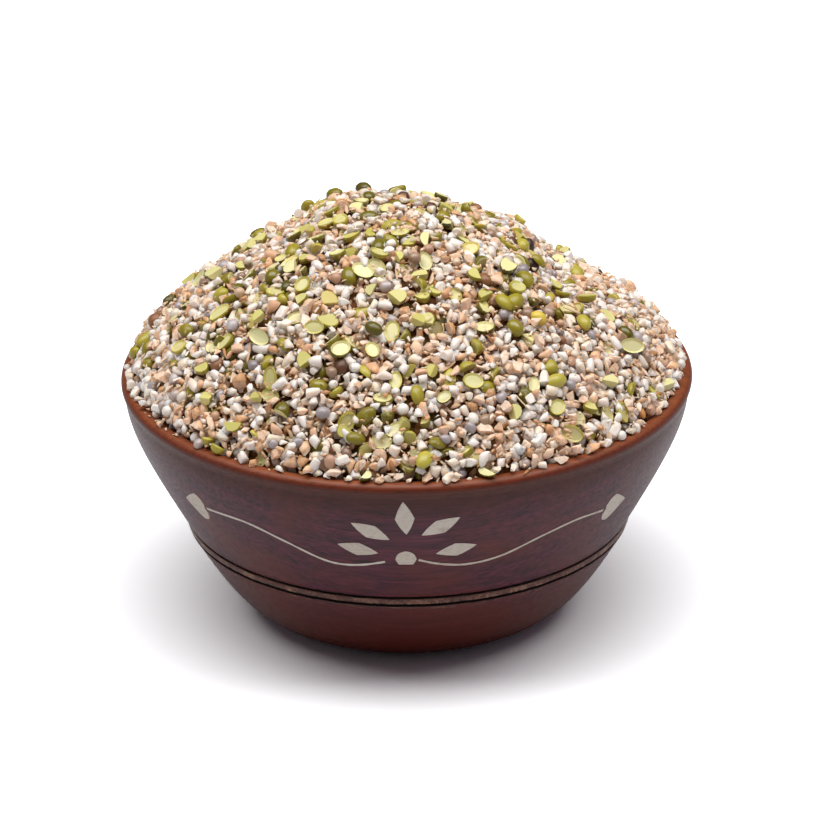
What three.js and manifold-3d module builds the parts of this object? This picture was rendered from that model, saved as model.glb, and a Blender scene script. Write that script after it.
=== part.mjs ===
// A bowl of multigrain broken wheat: a turned rosewood bowl with a pale inlaid vine round its
// wall, heaped with broken grain. Units are millimetres and +Z is up. The bowl's axis is Z and
// its flat base stands on z = 0.
import * as THREE from "three";
import { mergeVertices } from "three/addons/utils/BufferGeometryUtils.js";
import Module from "manifold-3d";

const wasm = await Module();
wasm.setup();

// Driving sizes of the bowl
const RIM_RADIUS = 63.5; // a five inch bowl, measured over the lip
const BOWL_HEIGHT = 56;
const LIP_DEPTH = 2.8; // from the rim down to where the wall starts
const LIP_INNER_RADIUS = 60.3;
const WALL_TOP_RADIUS = 62.8; // tucked in under the lip
const WALL_SLOPE = 0.6; // how far the wall comes in for each mm of height, low down
const WALL_BEND = 10.0; // over about this height it curves from upright to that slope
const WALL_THICKNESS = 4;
const GROOVE_TOP = 23.3; // height of the upper groove's top edge
const GROOVE_WIDTH = 0.7;
const GROOVE_DEPTH = 0.55;
const BEAD_WIDTH = 1.3; // the band left standing between the two grooves
const BASE_RADIUS = 27;
const FLOOR_THICKNESS = 9;
const BOWL_SIDES = 48;

// Driving sizes of the inlay
const REPEATS = 2; // the ornament stands on two opposite sides of the bowl
const FIRST_TURN = THREE.MathUtils.degToRad(-90.6); // the first one faces -Y
const INLAY_RADIUS = 57; // the wall's radius where the ornament is drawn flat
const INLAY_DEPTH = 1.2;
const GLUE_GAP = 0.3;
const POCKET_OVERSHOOT = 1; // a pocket's cut starts this far outside the wall
const PETAL_LENGTH = 8.9;
const PETAL_HALF_WIDTH = 1.95;
const PETAL_BULGE = 1.22; // how far a petal's straight sides are rounded out
const RIGHT_DROP = 1.1; // the right heart is let in lower than the left one
const VINE_WIDTH = 0.6;
const VINE_STEPS = 14;
// Where each petal lies round the wall, its height and its turn: all laid by hand and by eye.
const PETALS = {
  petal_top: [-0.1, 47.6, 94],
  petal_upper_right: [7.1, 45.1, 31],
  petal_upper_left: [-7.1, 43.8, 149.5],
  petal_lower_right: [10.8, 37.9, 11.5],
  petal_lower_left: [-10.2, 38.35, 166.5],
};
// The line of each vine, as distances round the wall and heights.
const VINE_RIGHT = [[2.75, 35.3], [7.6, 33.7], [14, 32.9], [21.5, 34.1], [30.5, 37.6], [39, 39.5], [47, 39]];
const VINE_LEFT = [[4.6, 34.7], [10, 33.4], [15, 33.1], [19.5, 34.2], [27, 37.7], [36, 40.6], [47.1, 40.3]];

// Driving sizes of the heap
const HEAP_HEIGHT = 38.5; // of its outline above the rim
const HEAP_RADIUS = 61;
const HEAP_EDGE_RADIUS = 59.7;
const COVER = 1.1; // the core lies this far under the heap's outline
const FIT_GAP = 0.35;
const HEAP_SIDES = 36;
const BUMP_PITCH = 2.8; // the small grains show as bumps this far apart
const BUMP_JITTER = 1.3;
const BUMP_HEIGHT = 1.5;
const RIM_CLEARANCE = 0.35;
const ELBOW_ROOM = 0.8; // how near two fused grains may come, as a share of their reach
// Swells and hollows: where each lies, its breadth along X, its length along Y and its rise.
const SWELLS = [
  [-15, 12, 8, 24, 1.5],
  [-25, 12, 5.5, 20, -2.8],
  [-41, 8, 13, 26, -2.2],
  [18, 12, 9, 24, -1.0],
  [33, 14, 6.5, 24, -8.0],
  [43, 12, 6, 22, -3.4],
];

const WOOD = new THREE.MeshStandardMaterial({ color: "#4b2c2a", roughness: 0.38, metalness: 0 });
const BONE = new THREE.MeshStandardMaterial({ color: "#d2c8b8", roughness: 0.5, metalness: 0 });
const GRAIN = new THREE.MeshStandardMaterial({ color: "#d8bf9c", roughness: 0.7, metalness: 0 });

const point = (x, y) => new THREE.Vector2(x, y);

// A closed geometry with its shared corners joined and nothing but positions left.
function joined(geometry) {
  const bare = geometry.clone();
  bare.deleteAttribute("normal");
  bare.deleteAttribute("uv");
  return mergeVertices(bare, 1e-3);
}

function solidFrom(geometry) {
  const bare = joined(geometry);
  const corners = bare.index.array;
  const kept = [];
  for (let i = 0; i < corners.length; i += 3) {
    const [a, b, c] = corners.slice(i, i + 3);
    if (a !== b && b !== c && c !== a) kept.push(a, b, c);
  }
  const vertProperties = new Float32Array(bare.attributes.position.array);
  return new wasm.Manifold(
    new wasm.Mesh({ numProp: 3, vertProperties, triVerts: new Uint32Array(kept) }),
  );
}

function geometryFrom(solid) {
  const made = solid.getMesh();
  const geometry = new THREE.BufferGeometry();
  geometry.setAttribute("position", new THREE.BufferAttribute(made.vertProperties, 3));
  geometry.setIndex(new THREE.BufferAttribute(made.triVerts, 1));
  geometry.computeVertexNormals();
  return geometry;
}

// Turns an outline of (radius, height) points round the Z axis.
function turned(outline, sides) {
  return new THREE.LatheGeometry(outline, sides).rotateX(Math.PI / 2);
}

// ---- The bowl

const WALL_TOP = BOWL_HEIGHT - LIP_DEPTH;
const GROOVE_BOTTOM = GROOVE_TOP - 2 * GROOVE_WIDTH - BEAD_WIDTH;
const GROOVE_STEP = 0.6; // the foot is this much slimmer than the wall over the grooves
const LOWER_RADIUS = wallRadius(GROOVE_TOP) - GROOVE_STEP;

// Outer radius of the wall at a height, from the lip down to the grooves.
function wallRadius(height) {
  return WALL_TOP_RADIUS - WALL_SLOPE * (Math.hypot(WALL_TOP - height, WALL_BEND) - WALL_BEND);
}

function lowerCurve() {
  const start = point(BASE_RADIUS, 0);
  const flare = point(BASE_RADIUS + 11.3, 0.6);
  const rise = point(LOWER_RADIUS - 6, GROOVE_BOTTOM - 9.6);
  return new THREE.CubicBezierCurve(start, flare, rise, point(LOWER_RADIUS, GROOVE_BOTTOM));
}

// The two scored lines with the bead between them, from the lower one up.
function groovePoints() {
  const upper = wallRadius(GROOVE_TOP);
  const beadLow = GROOVE_BOTTOM + GROOVE_WIDTH;
  const beadHigh = beadLow + BEAD_WIDTH;
  const bead = (LOWER_RADIUS + upper) / 2;
  return [
    point(LOWER_RADIUS - GROOVE_DEPTH, GROOVE_BOTTOM + GROOVE_WIDTH / 2),
    point(bead - 0.15, beadLow),
    point(bead + 0.1, (beadLow + beadHigh) / 2),
    point(bead, beadHigh),
    point(upper - GROOVE_DEPTH, GROOVE_TOP - GROOVE_WIDTH / 2),
  ];
}

function wallPoints(from, to, steps, inset) {
  const points = [];
  for (let i = 0; i <= steps; i += 1) {
    const height = from + ((to - from) * i) / steps;
    points.push(point(wallRadius(height) - inset, height));
  }
  return points;
}

function lipPoints() {
  return [
    point(RIM_RADIUS - 0.45, WALL_TOP + 0.35),
    point(RIM_RADIUS, WALL_TOP + 1.4),
    point(RIM_RADIUS - 0.25, BOWL_HEIGHT - 0.5),
    point(RIM_RADIUS - 0.95, BOWL_HEIGHT),
    point(LIP_INNER_RADIUS + 0.8, BOWL_HEIGHT),
    point(LIP_INNER_RADIUS, BOWL_HEIGHT - 0.7),
  ];
}

// The hollow, from the lip down to the middle of the floor, with everything moved in by `gap`.
function hollowPoints(gap) {
  const turn = GROOVE_TOP - 1;
  const wall = wallPoints(WALL_TOP - 1.5, turn, 3, WALL_THICKNESS + gap);
  const radius = wall.at(-1).x;
  const depth = turn - FLOOR_THICKNESS - gap;
  const floor = new THREE.EllipseCurve(0, turn, radius, depth, 0, -Math.PI / 2, true);
  return [...wall, ...floor.getPoints(4).slice(1, -1), point(0, FLOOR_THICKNESS + gap)];
}

function bowlSolid() {
  const outline = [
    point(0, 0),
    ...lowerCurve().getPoints(6),
    ...groovePoints(),
    ...wallPoints(GROOVE_TOP, WALL_TOP, 6, 0),
    ...lipPoints(),
    ...hollowPoints(0),
  ];
  return solidFrom(turned(outline, BOWL_SIDES));
}

// ---- The inlay, drawn flat as outlines: x runs round the wall, y is the height

// A petal cut as a long diamond with its sides rounded out a little.
function petalOutline(x, y, degrees) {
  const [half, wide] = [PETAL_LENGTH / 2, PETAL_HALF_WIDTH];
  const tips = [point(half, 0), point(0, wide), point(-half, 0), point(0, -wide)];
  const shape = new THREE.Shape().moveTo(half, 0);
  tips.forEach((tip, i) => {
    const next = tips[(i + 1) % tips.length];
    const middle = tip.clone().add(next).multiplyScalar(PETAL_BULGE / 2);
    shape.quadraticCurveTo(middle.x, middle.y, next.x, next.y);
  });
  const turn = THREE.MathUtils.degToRad(degrees);
  const centre = point(0, 0);
  return shape.getPoints(3).map((p) => p.rotateAround(centre, turn).add(point(x, y)));
}

// The bud the vines grow from: a low dome on a narrower foot.
function budOutline() {
  const shape = new THREE.Shape();
  shape.moveTo(-1.6, 33.9);
  shape.lineTo(1.6, 33.9);
  shape.lineTo(2.3, 35.4);
  shape.quadraticCurveTo(2.1, 37.7, 0, 38.05);
  shape.quadraticCurveTo(-2.1, 37.7, -2.3, 35.4);
  return shape.getPoints(4);
}

// `side` is 1 or -1.
function vineLine(points, side) {
  return new THREE.SplineCurve(points.map(([x, y]) => point(side * x, y)));
}

// The heart lies on its side with its notch at the vine's end.
function heartOutline() {
  const shape = new THREE.Shape();
  shape.moveTo(54.5, 40.2);
  shape.quadraticCurveTo(52.4, 42.0, 49.7, 43.5);
  shape.quadraticCurveTo(48.2, 43.5, 47.6, 41.2);
  shape.lineTo(47.95, 40.0);
  shape.lineTo(47.6, 38.7);
  shape.quadraticCurveTo(48.0, 36.2, 50.3, 36.2);
  shape.quadraticCurveTo(51.6, 36.7, 54.5, 40.2);
  return shape.getPoints(3);
}

const mirrored = (outline) => outline.map((p) => point(-p.x, p.y)).reverse();

const withoutRepeats = (outline) =>
  outline.filter((p, i) => p.distanceTo(outline.at(i - 1)) > 1e-3);

// The outline running anticlockwise.
const upright = (outline) => (THREE.ShapeUtils.isClockWise(outline) ? [...outline].reverse() : outline);

// The outline moved out by `gap` on every side.
function grown(outline, gap) {
  const sharpest = 2.2 * gap;
  return outline.map((p, i) => {
    const before = p.clone().sub(outline.at(i - 1)).normalize();
    const after = outline[(i + 1) % outline.length].clone().sub(p).normalize();
    const out = point(before.y + after.y, -before.x - after.x).normalize();
    const reach = gap / Math.max(out.dot(point(after.y, -after.x)), 0.1);
    return p.clone().addScaledVector(out, Math.min(reach, sharpest));
  });
}

// A flat plate of an outline, `gap` larger all round, from depth `low` to `high`.
function plate(outline, gap, low, high) {
  const shape = new THREE.Shape(gap > 0 ? grown(outline, gap) : outline);
  const settings = { depth: high - low, bevelEnabled: false };
  return joined(new THREE.ExtrudeGeometry(shape, settings)).translate(0, 0, low);
}

// A flat strip along a line, `gap` larger all round, from depth `low` to `high`.
function strip(line, gap, low, high) {
  const width = VINE_WIDTH + 2 * gap;
  const geometry = joined(new THREE.BoxGeometry(2, width, high - low, VINE_STEPS, 1, 1));
  const corners = geometry.attributes.position;
  for (let i = 0; i < corners.count; i += 1) {
    const share = corners.getX(i); // -1 at the start of the line and 1 at its end
    const along = line.getTangent((share + 1) / 2);
    const at = line.getPoint((share + 1) / 2).addScaledVector(along, gap * Math.trunc(share));
    at.addScaledVector(point(-along.y, along.x), corners.getY(i));
    corners.setXYZ(i, at.x, at.y, corners.getZ(i) + (low + high) / 2);
  }
  return geometry;
}

// A flat piece laid round the bowl, its depths measured from the wall's surface.
function laidOnWall(flat, turn) {
  const geometry = flat.clone();
  const corners = geometry.attributes.position;
  for (let i = 0; i < corners.count; i += 1) {
    const angle = turn + corners.getX(i) / INLAY_RADIUS;
    const height = corners.getY(i);
    const radius = wallRadius(height) + corners.getZ(i);
    corners.setXYZ(i, radius * Math.cos(angle), radius * Math.sin(angle), height);
  }
  return geometry;
}

// Every piece of one ornament: a function of gap, low and high that makes it flat.
function ornament() {
  const outlines = {
    bud: budOutline(),
    heart_right: heartOutline().map((p) => point(p.x, p.y - RIGHT_DROP)),
    heart_left: mirrored(heartOutline()),
  };
  for (const [name, place] of Object.entries(PETALS)) outlines[name] = petalOutline(...place);
  const pieces = {};
  for (const [name, outline] of Object.entries(outlines)) {
    pieces[name] = (...sizes) => plate(upright(withoutRepeats(outline)), ...sizes);
  }
  pieces.vine_right = (...sizes) => strip(vineLine(VINE_RIGHT, 1), ...sizes);
  pieces.vine_left = (...sizes) => strip(vineLine(VINE_LEFT, -1), ...sizes);
  return pieces;
}

// ---- The heap

// Small repeatable random numbers from 0 to 1.
function seeded(seed) {
  let state = seed;
  return () => {
    state = (state + 0x6d2b79f5) | 0;
    let mixed = Math.imul(state ^ (state >>> 15), 1 | state);
    mixed = (mixed + Math.imul(mixed ^ (mixed >>> 7), 61 | mixed)) ^ mixed;
    return ((mixed ^ (mixed >>> 14)) >>> 0) / 4294967296;
  };
}

// Height of the heap's outline above the rim: fuller on its -X side, with swells and hollows.
function heapOutline(x, y) {
  const radius = Math.min(Math.hypot(x, y), HEAP_RADIUS - 0.05);
  const side = x / Math.max(radius, 1);
  const shoulder = 1.54 - 0.135 * side;
  const steepness = 0.682 + 0.022 * side;
  const dome = HEAP_HEIGHT * (1 - (radius / HEAP_RADIUS) ** shoulder) ** steepness;
  const ripples = Math.sin(x / 7.5 + 1) * Math.cos(y / 9.2) + 0.6 * Math.sin(x / 4.1 - y / 5.3);
  let uneven = 0.55 * ripples;
  for (const [atX, atY, breadth, length, rise] of SWELLS) {
    uneven += rise * Math.exp(-(((x - atX) / breadth) ** 2) - ((y - atY) / length) ** 2);
  }
  return dome + uneven * (1 - (radius / HEAP_RADIUS) ** 6);
}

const coreHeight = (x, y) => BOWL_HEIGHT + heapOutline(x, y) - COVER;

// The direction square to the core's surface.
function coreNormal(x, y) {
  const step = 0.8;
  const slopeX = (coreHeight(x + step, y) - coreHeight(x - step, y)) / (2 * step);
  const slopeY = (coreHeight(x, y + step) - coreHeight(x, y - step)) / (2 * step);
  return new THREE.Vector3(-slopeX, -slopeY, 1).normalize();
}

// The dome's column: a block whose top is a grid pushed up and down by the size of small grains.
function bumpyDome(random) {
  const across = 2 * HEAP_RADIUS;
  const cells = Math.round(across / BUMP_PITCH);
  const block = joined(new THREE.BoxGeometry(across, across, 2 * BOWL_HEIGHT, cells, cells, 1));
  const corners = block.attributes.position;
  for (let i = 0; i < corners.count; i += 1) {
    const x = corners.getX(i) + BUMP_JITTER * (random() - 0.5);
    const y = corners.getY(i) + BUMP_JITTER * (random() - 0.5);
    if (corners.getZ(i) > 0) {
      corners.setXYZ(i, x, y, coreHeight(x, y) + BUMP_HEIGHT * (random() - 0.5));
    }
  }
  return solidFrom(block);
}

// The round body that fills the hollow and goes straight up from the lip, past the dome's top.
function fillColumn() {
  const ceiling = BOWL_HEIGHT + 2 * HEAP_HEIGHT;
  const outline = [
    ...hollowPoints(FIT_GAP).reverse(),
    point(HEAP_EDGE_RADIUS - 0.2, BOWL_HEIGHT - 1.5),
    point(HEAP_EDGE_RADIUS, BOWL_HEIGHT),
    point(HEAP_EDGE_RADIUS, ceiling),
    point(0, ceiling),
  ];
  return solidFrom(turned(outline, HEAP_SIDES));
}

// Plain grain forms, each about its own middle and 1 mm across until it is scaled.
const SPLIT_BEAN = turned([point(0, -0.3), point(0.5, -0.3), point(0.42, 0.05), point(0, 0.3)], 6);
const WHOLE_BEAN = new THREE.IcosahedronGeometry(0.53, 0);
const MILLET = new THREE.IcosahedronGeometry(0.53, 0);

// The kinds of grain large enough to be fused on, with their length, width and thickness.
const KINDS = [
  { form: WHOLE_BEAN, size: [4.9, 3.6, 3.5], count: 10, sunk: 0.1 },
  { form: SPLIT_BEAN, size: [4.4, 3.3, 2.6], count: 32, sunk: 0.15 },
  { form: MILLET, size: [2.9, 2.9, 2.7], count: 14, sunk: 0.05 },
];
const GOLDEN_TURN = Math.PI * (3 - Math.sqrt(5));

// Where the grains of one kind lie: an even spiral over the dome, each grain nudged a little.
function* spots(count, phase, random) {
  const furthest = HEAP_EDGE_RADIUS - 0.6;
  for (let i = 0; i < count; i += 1) {
    const radius = furthest * ((i + 0.3 + 0.4 * random()) / count) ** 0.47;
    const angle = i * GOLDEN_TURN + phase + 0.25 * (random() - 0.5);
    yield [radius * Math.cos(angle), radius * Math.sin(angle)];
  }
}

// One grain lying on the core, turned and tilted at random.
function placedGrain(kind, x, y, random) {
  const scale = 0.86 + 0.28 * random();
  const size = new THREE.Vector3(...kind.size).multiplyScalar(scale);
  const normal = coreNormal(x, y);
  const spin = new THREE.Quaternion().setFromAxisAngle(
    new THREE.Vector3(0, 0, 1),
    2 * Math.PI * random(),
  );
  const lean = new THREE.Vector3(random() - 0.5, random() - 0.5, 1.1).normalize();
  const tilt = new THREE.Quaternion().setFromUnitVectors(new THREE.Vector3(0, 0, 1), lean);
  const stand = new THREE.Quaternion().setFromUnitVectors(new THREE.Vector3(0, 0, 1), normal);
  const middle = new THREE.Vector3(x, y, coreHeight(x, y));
  middle.addScaledVector(normal, size.z * (0.35 - kind.sunk));
  const reach = size.x / 2;
  const radius = Math.hypot(x, y);
  const room = LIP_INNER_RADIUS - RIM_CLEARANCE - reach;
  if (radius > room && middle.z - reach < BOWL_HEIGHT + RIM_CLEARANCE) {
    middle.x *= room / radius;
    middle.y *= room / radius;
  }
  const matrix = new THREE.Matrix4().compose(middle, stand.multiply(tilt).multiply(spin), size);
  return { middle, reach, geometry: kind.form.clone().applyMatrix4(matrix) };
}

// The grains that show, the largest kinds first, none of them crowding one laid before it.
function grainsOn(random) {
  const laid = [];
  KINDS.forEach((kind, order) => {
    for (const [x, y] of spots(kind.count, order * 1.3, random)) {
      const grain = placedGrain(kind, x, y, random);
      const crowded = laid.some(
        (other) => other.middle.distanceTo(grain.middle) < ELBOW_ROOM * (other.reach + grain.reach),
      );
      if (!crowded) laid.push(grain);
    }
  });
  return laid.map((grain) => solidFrom(grain.geometry));
}

// The largest body of a solid: sealed hollows are filled and loose scraps dropped, also those
// that only corners a thousandth of a millimetre apart still held on.
function wholeOf(solid) {
  const bodies = solidFrom(geometryFrom(solid)).decompose();
  return bodies.reduce((best, body) => (body.volume() > best.volume() ? body : best));
}

function heapSolid() {
  const random = seeded(7);
  const core = bumpyDome(random).intersect(fillColumn());
  return wholeOf(wasm.Manifold.union([core, ...grainsOn(random)]));
}

// ---- The whole

function named(name, geometry, material) {
  const mesh = new THREE.Mesh(geometry, material);
  mesh.name = name;
  return mesh;
}

const root = new THREE.Group();
const pockets = [];
for (let repeat = 0; repeat < REPEATS; repeat += 1) {
  const turn = FIRST_TURN + (repeat * 2 * Math.PI) / REPEATS;
  for (const [name, piece] of Object.entries(ornament())) {
    const pocket = piece(GLUE_GAP, -INLAY_DEPTH - GLUE_GAP, POCKET_OVERSHOOT);
    pockets.push(solidFrom(laidOnWall(pocket, turn)));
    const inlay = laidOnWall(piece(0, -INLAY_DEPTH, 0), turn);
    root.add(named(name + "_" + (repeat + 1), inlay, BONE));
  }
}
const carved = wholeOf(bowlSolid().subtract(wasm.Manifold.union(pockets)));
root.add(named("bowl", geometryFrom(carved), WOOD));
root.add(named("grain_heap", geometryFrom(heapSolid()), GRAIN));

export default root;
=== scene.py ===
"""A turned rosewood bowl with a bone vine inlaid round its wall, heaped with multigrain broken
wheat: broken rice and wheat, split and whole green gram, millet and a few odd seeds."""

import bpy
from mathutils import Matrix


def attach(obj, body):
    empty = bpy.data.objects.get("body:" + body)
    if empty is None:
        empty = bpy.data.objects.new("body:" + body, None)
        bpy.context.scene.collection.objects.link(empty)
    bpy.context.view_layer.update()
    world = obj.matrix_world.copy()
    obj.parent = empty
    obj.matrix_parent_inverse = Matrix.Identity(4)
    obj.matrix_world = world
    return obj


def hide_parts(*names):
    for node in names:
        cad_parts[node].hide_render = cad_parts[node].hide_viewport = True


bl_info = {
    "name": "Bowl of Multigrain Broken Wheat",
    "version": (1, 0, 0),
    "blender": (4, 5, 0),
    "location": "3D View > Sidebar > Grain Bowl",
    "description": "Builds an inlaid rosewood bowl heaped with loose multigrain broken wheat",
    "category": "Object",
}

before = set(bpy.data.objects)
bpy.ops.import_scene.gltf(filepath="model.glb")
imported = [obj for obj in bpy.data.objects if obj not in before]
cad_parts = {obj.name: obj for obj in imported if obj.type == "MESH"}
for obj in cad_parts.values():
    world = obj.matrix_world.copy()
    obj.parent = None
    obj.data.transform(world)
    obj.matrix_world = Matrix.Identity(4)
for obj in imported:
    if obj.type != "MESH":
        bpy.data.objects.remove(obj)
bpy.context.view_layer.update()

import math

import bmesh
import bpy
import numpy as np
from mathutils import Matrix, Vector, noise

MM = 0.001

# ---- sizes shared by the pieces, in mm

RIM_RADIUS = 63.5
BOWL_HEIGHT = 56.0
WALL_TOP = 53.2  # the wall ends here, under the lip
LIP_ROUND = ((61.9, 54.4), 1.6)  # the lip's outer rounding: its centre and its radius
LIP_INSIDE = ((61.2, 55.1), 0.9)  # and its inner one
WALL_TOP_RADIUS = 62.8
WALL_SLOPE = 0.6  # how far the wall comes in for each mm of height, low down
WALL_BEND = 10.0  # over about this height it curves from upright to that slope
WALL_THICKNESS = 4.0
GROOVE_TOP = 23.3
GROOVE_WIDTH = 0.7
GROOVE_DEPTH = 0.55
GROOVE_BOTTOM = 20.6
LOWER_RADIUS = 49.28
BASE_RADIUS = 27.0
FLOOR_THICKNESS = 9.0
INLAY_RADIUS = 57.0  # the wall's radius where the ornament is drawn flat
FIRST_TURN = math.radians(-90.6)  # the first ornament faces -Y
REPEATS = 2  # the ornament stands on two opposite sides
PETAL_LENGTH = 8.9
PETAL_HALF_WIDTH = 1.95
VINE_WIDTH = 0.6
RIGHT_DROP = 1.1  # the right heart was let in lower than the left one
# Each vine's line as distances round the wall and heights.
VINE_RIGHT = [(2.75, 35.3), (7.6, 33.7), (14, 32.9), (21.5, 34.1), (30.5, 37.6), (39, 39.5), (47, 39)]
VINE_LEFT = [(4.6, 34.7), (10, 33.4), (15, 33.1), (19.5, 34.2), (27, 37.7), (36, 40.6), (47.1, 40.3)]
HEAP_RADIUS = 61.0
# Swells and hollows of the heap: where each lies, its breadth along X, its length along Y, its rise.
SWELLS = [
    (-15, 12, 8, 24, 1.5), (-25, 12, 5.5, 20, -2.8), (-41, 8, 13, 26, -2.2), (18, 12, 9, 24, -1.0),
    (33, 14, 6.5, 24, -8.0), (43, 12, 6, 22, -3.4),
]


def linear(code):
    """An sRGB hex colour as linear red, green, blue and alpha."""
    channels = [int(code[i : i + 2], 16) / 255 for i in (1, 3, 5)]
    return (*[c / 12.92 if c <= 0.04045 else ((c + 0.055) / 1.055) ** 2.4 for c in channels], 1.0)


# ---- settings a user would change


def colour(name, description, code):
    return bpy.props.FloatVectorProperty(
        name=name, description=description, default=linear(code), size=4, subtype="COLOR",
        min=0, max=1,
    )


class BowlSettings(bpy.types.PropertyGroup):
    rim_radius: bpy.props.FloatProperty(
        name="Rim radius", description="Outer radius over the lip", default=RIM_RADIUS * MM,
        unit="LENGTH",
    )
    height: bpy.props.FloatProperty(
        name="Height", description="Base to rim", default=BOWL_HEIGHT * MM, unit="LENGTH"
    )
    sides: bpy.props.IntProperty(
        name="Sides", description="Steps of the turned surface", default=224, min=48
    )
    wood: colour("Heartwood", "The wood's main colour", "#471628")
    wood_dark: colour("Dark bands", "Late growth and old streaks", "#1d0910")
    wood_light: colour("Light bands", "Early growth", "#672638")
    lip_wood: colour("Lip", "Warmer wood where the lip is rubbed", "#6e2a0e")
    foot_wood: colour("Foot", "Redder wood under the grooves", "#5a1d0c")
    # The grooves' colour is painted shade laid into the scored lines.
    groove_painted_shade: colour("Grooves", "Scorched wood in the scored lines", "#1f110d")
    inlay_proud: bpy.props.FloatProperty(
        name="Inlay stands proud", description="Height of the inlay over the wall",
        default=0.06 * MM, unit="LENGTH",
    )
    bone: colour("Bone", "The inlay", "#cfc4b8")


class GrainSettings(bpy.types.PropertyGroup):
    heap_height: bpy.props.FloatProperty(
        name="Heap height", description="Above the rim", default=38.5 * MM, unit="LENGTH"
    )
    seed: bpy.props.IntProperty(name="Seed", description="Another way the grains fell", default=11)
    attempts: bpy.props.IntProperty(
        name="Grains tried", description="How many grains are offered to the heap", default=10500
    )
    rice: colour("Broken rice", "White rice brokens", "#e9dcd3")
    wheat_skin: colour("Wheat bran", "Outer skin of the broken wheat", "#dfaa7b")
    wheat_flour: colour("Wheat flour", "Broken faces of the wheat", "#f4d7c0")
    gram_flesh: colour("Gram flesh", "Cut face of the split gram", "#dad18c")
    gram_skin: colour("Gram skin", "Green skin of the gram", "#82751a")
    millet: colour("Pearl millet", "Grey pearl millet", "#b6acae")


class StudioSettings(bpy.types.PropertyGroup):
    floor: colour("Table", "The plain pale table", "#f7f7f8")
    fill: bpy.props.FloatProperty(
        name="Fill", description="Strength of the even light from all sides", default=0.055
    )
    top_light: bpy.props.FloatProperty(
        name="Top light", description="Watts of the overhead softbox", default=24.0
    )


# ---- small helpers


def add_node(tree, kind, settings=None, out=0):
    """Adds one shader node and gives back its output `out`. A setting is a property, an input's
    value or the output that feeds an input; a ramp takes stops and a Map Range node its span."""
    made = tree.nodes.new("ShaderNode" + kind)
    for key, value in (settings or {}).items():
        if isinstance(value, str) and value.startswith("#"):
            value = linear(value)
        if isinstance(value, bpy.types.NodeSocket):
            tree.links.new(value, made.inputs[key])
        elif key == "stops":
            ramp = made.color_ramp
            while len(ramp.elements) < len(value):
                ramp.elements.new(1.0)
            for element, (place, shade) in zip(ramp.elements, value):
                element.position = place
                element.color = linear(shade) if isinstance(shade, str) else shade
        elif key == "steps":
            made.color_ramp.interpolation = value
        elif key == "span":
            for name, number in zip(("From Min", "From Max", "To Min", "To Max"), value):
                made.inputs[name].default_value = number
        elif isinstance(key, str) and hasattr(made, key):
            setattr(made, key, value)
        else:
            made.inputs[key].default_value = value
    return made.outputs[out] if made.outputs else None


def new_material(name):
    material = bpy.data.materials.new(name)
    material.use_nodes = True
    material.node_tree.nodes.clear()
    return material, material.node_tree


def surface(tree, settings):
    """The shader and the output that close a material."""
    add_node(tree, "OutputMaterial", {"Surface": add_node(tree, "BsdfPrincipled", settings)})


def show(name, mesh, material, nodes):
    """Puts a finished mesh in the scene as a piece that stands for CAD nodes."""
    if not mesh.polygons:
        raise RuntimeError(name + " has no faces")
    mesh.materials.append(material)
    piece = bpy.data.objects.new(name, mesh)
    bpy.context.scene.collection.objects.link(piece)
    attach(piece, "root")
    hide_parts(*nodes)
    return piece


def mesh_from(bm, name, smooth=True):
    mesh = bpy.data.meshes.new(name)
    for face in bm.faces:
        face.smooth = smooth
    bm.to_mesh(mesh)
    bm.free()
    return mesh


# ---- the bowl


def wall_radius(height):
    """Outer radius of the wall between the grooves and the lip."""
    return WALL_TOP_RADIUS - WALL_SLOPE * (math.hypot(WALL_TOP - height, WALL_BEND) - WALL_BEND)


def bezier(points, steps):
    """Points along a cubic curve."""
    a, b, c, d = (np.array(p, float) for p in points)
    return [
        tuple(a * (1 - t) ** 3 + 3 * b * t * (1 - t) ** 2 + 3 * c * t * t * (1 - t) + d * t**3)
        for t in np.linspace(0, 1, steps + 1)
    ]


def arc(centre, radius, start, end, steps):
    """Points on an arc, its angles in degrees."""
    angles = [math.radians(start + (end - start) * i / steps) for i in range(steps + 1)]
    return [(centre[0] + radius * math.cos(a), centre[1] + radius * math.sin(a)) for a in angles]


def scored_line(low, outer_low, outer_high):
    """The section of one scored groove, rounded at its edges and its bottom."""
    profile = [(0.0, 0.0), (0.1, 0.12), (0.25, 0.72), (0.42, 1.0), (0.6, 1.0), (0.76, 0.7)]
    profile += [(0.9, 0.12), (1.0, 0.0)]
    rise = outer_high - outer_low
    return [
        (outer_low + rise * share - GROOVE_DEPTH * depth, low + GROOVE_WIDTH * share)
        for share, depth in profile
    ]


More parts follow.
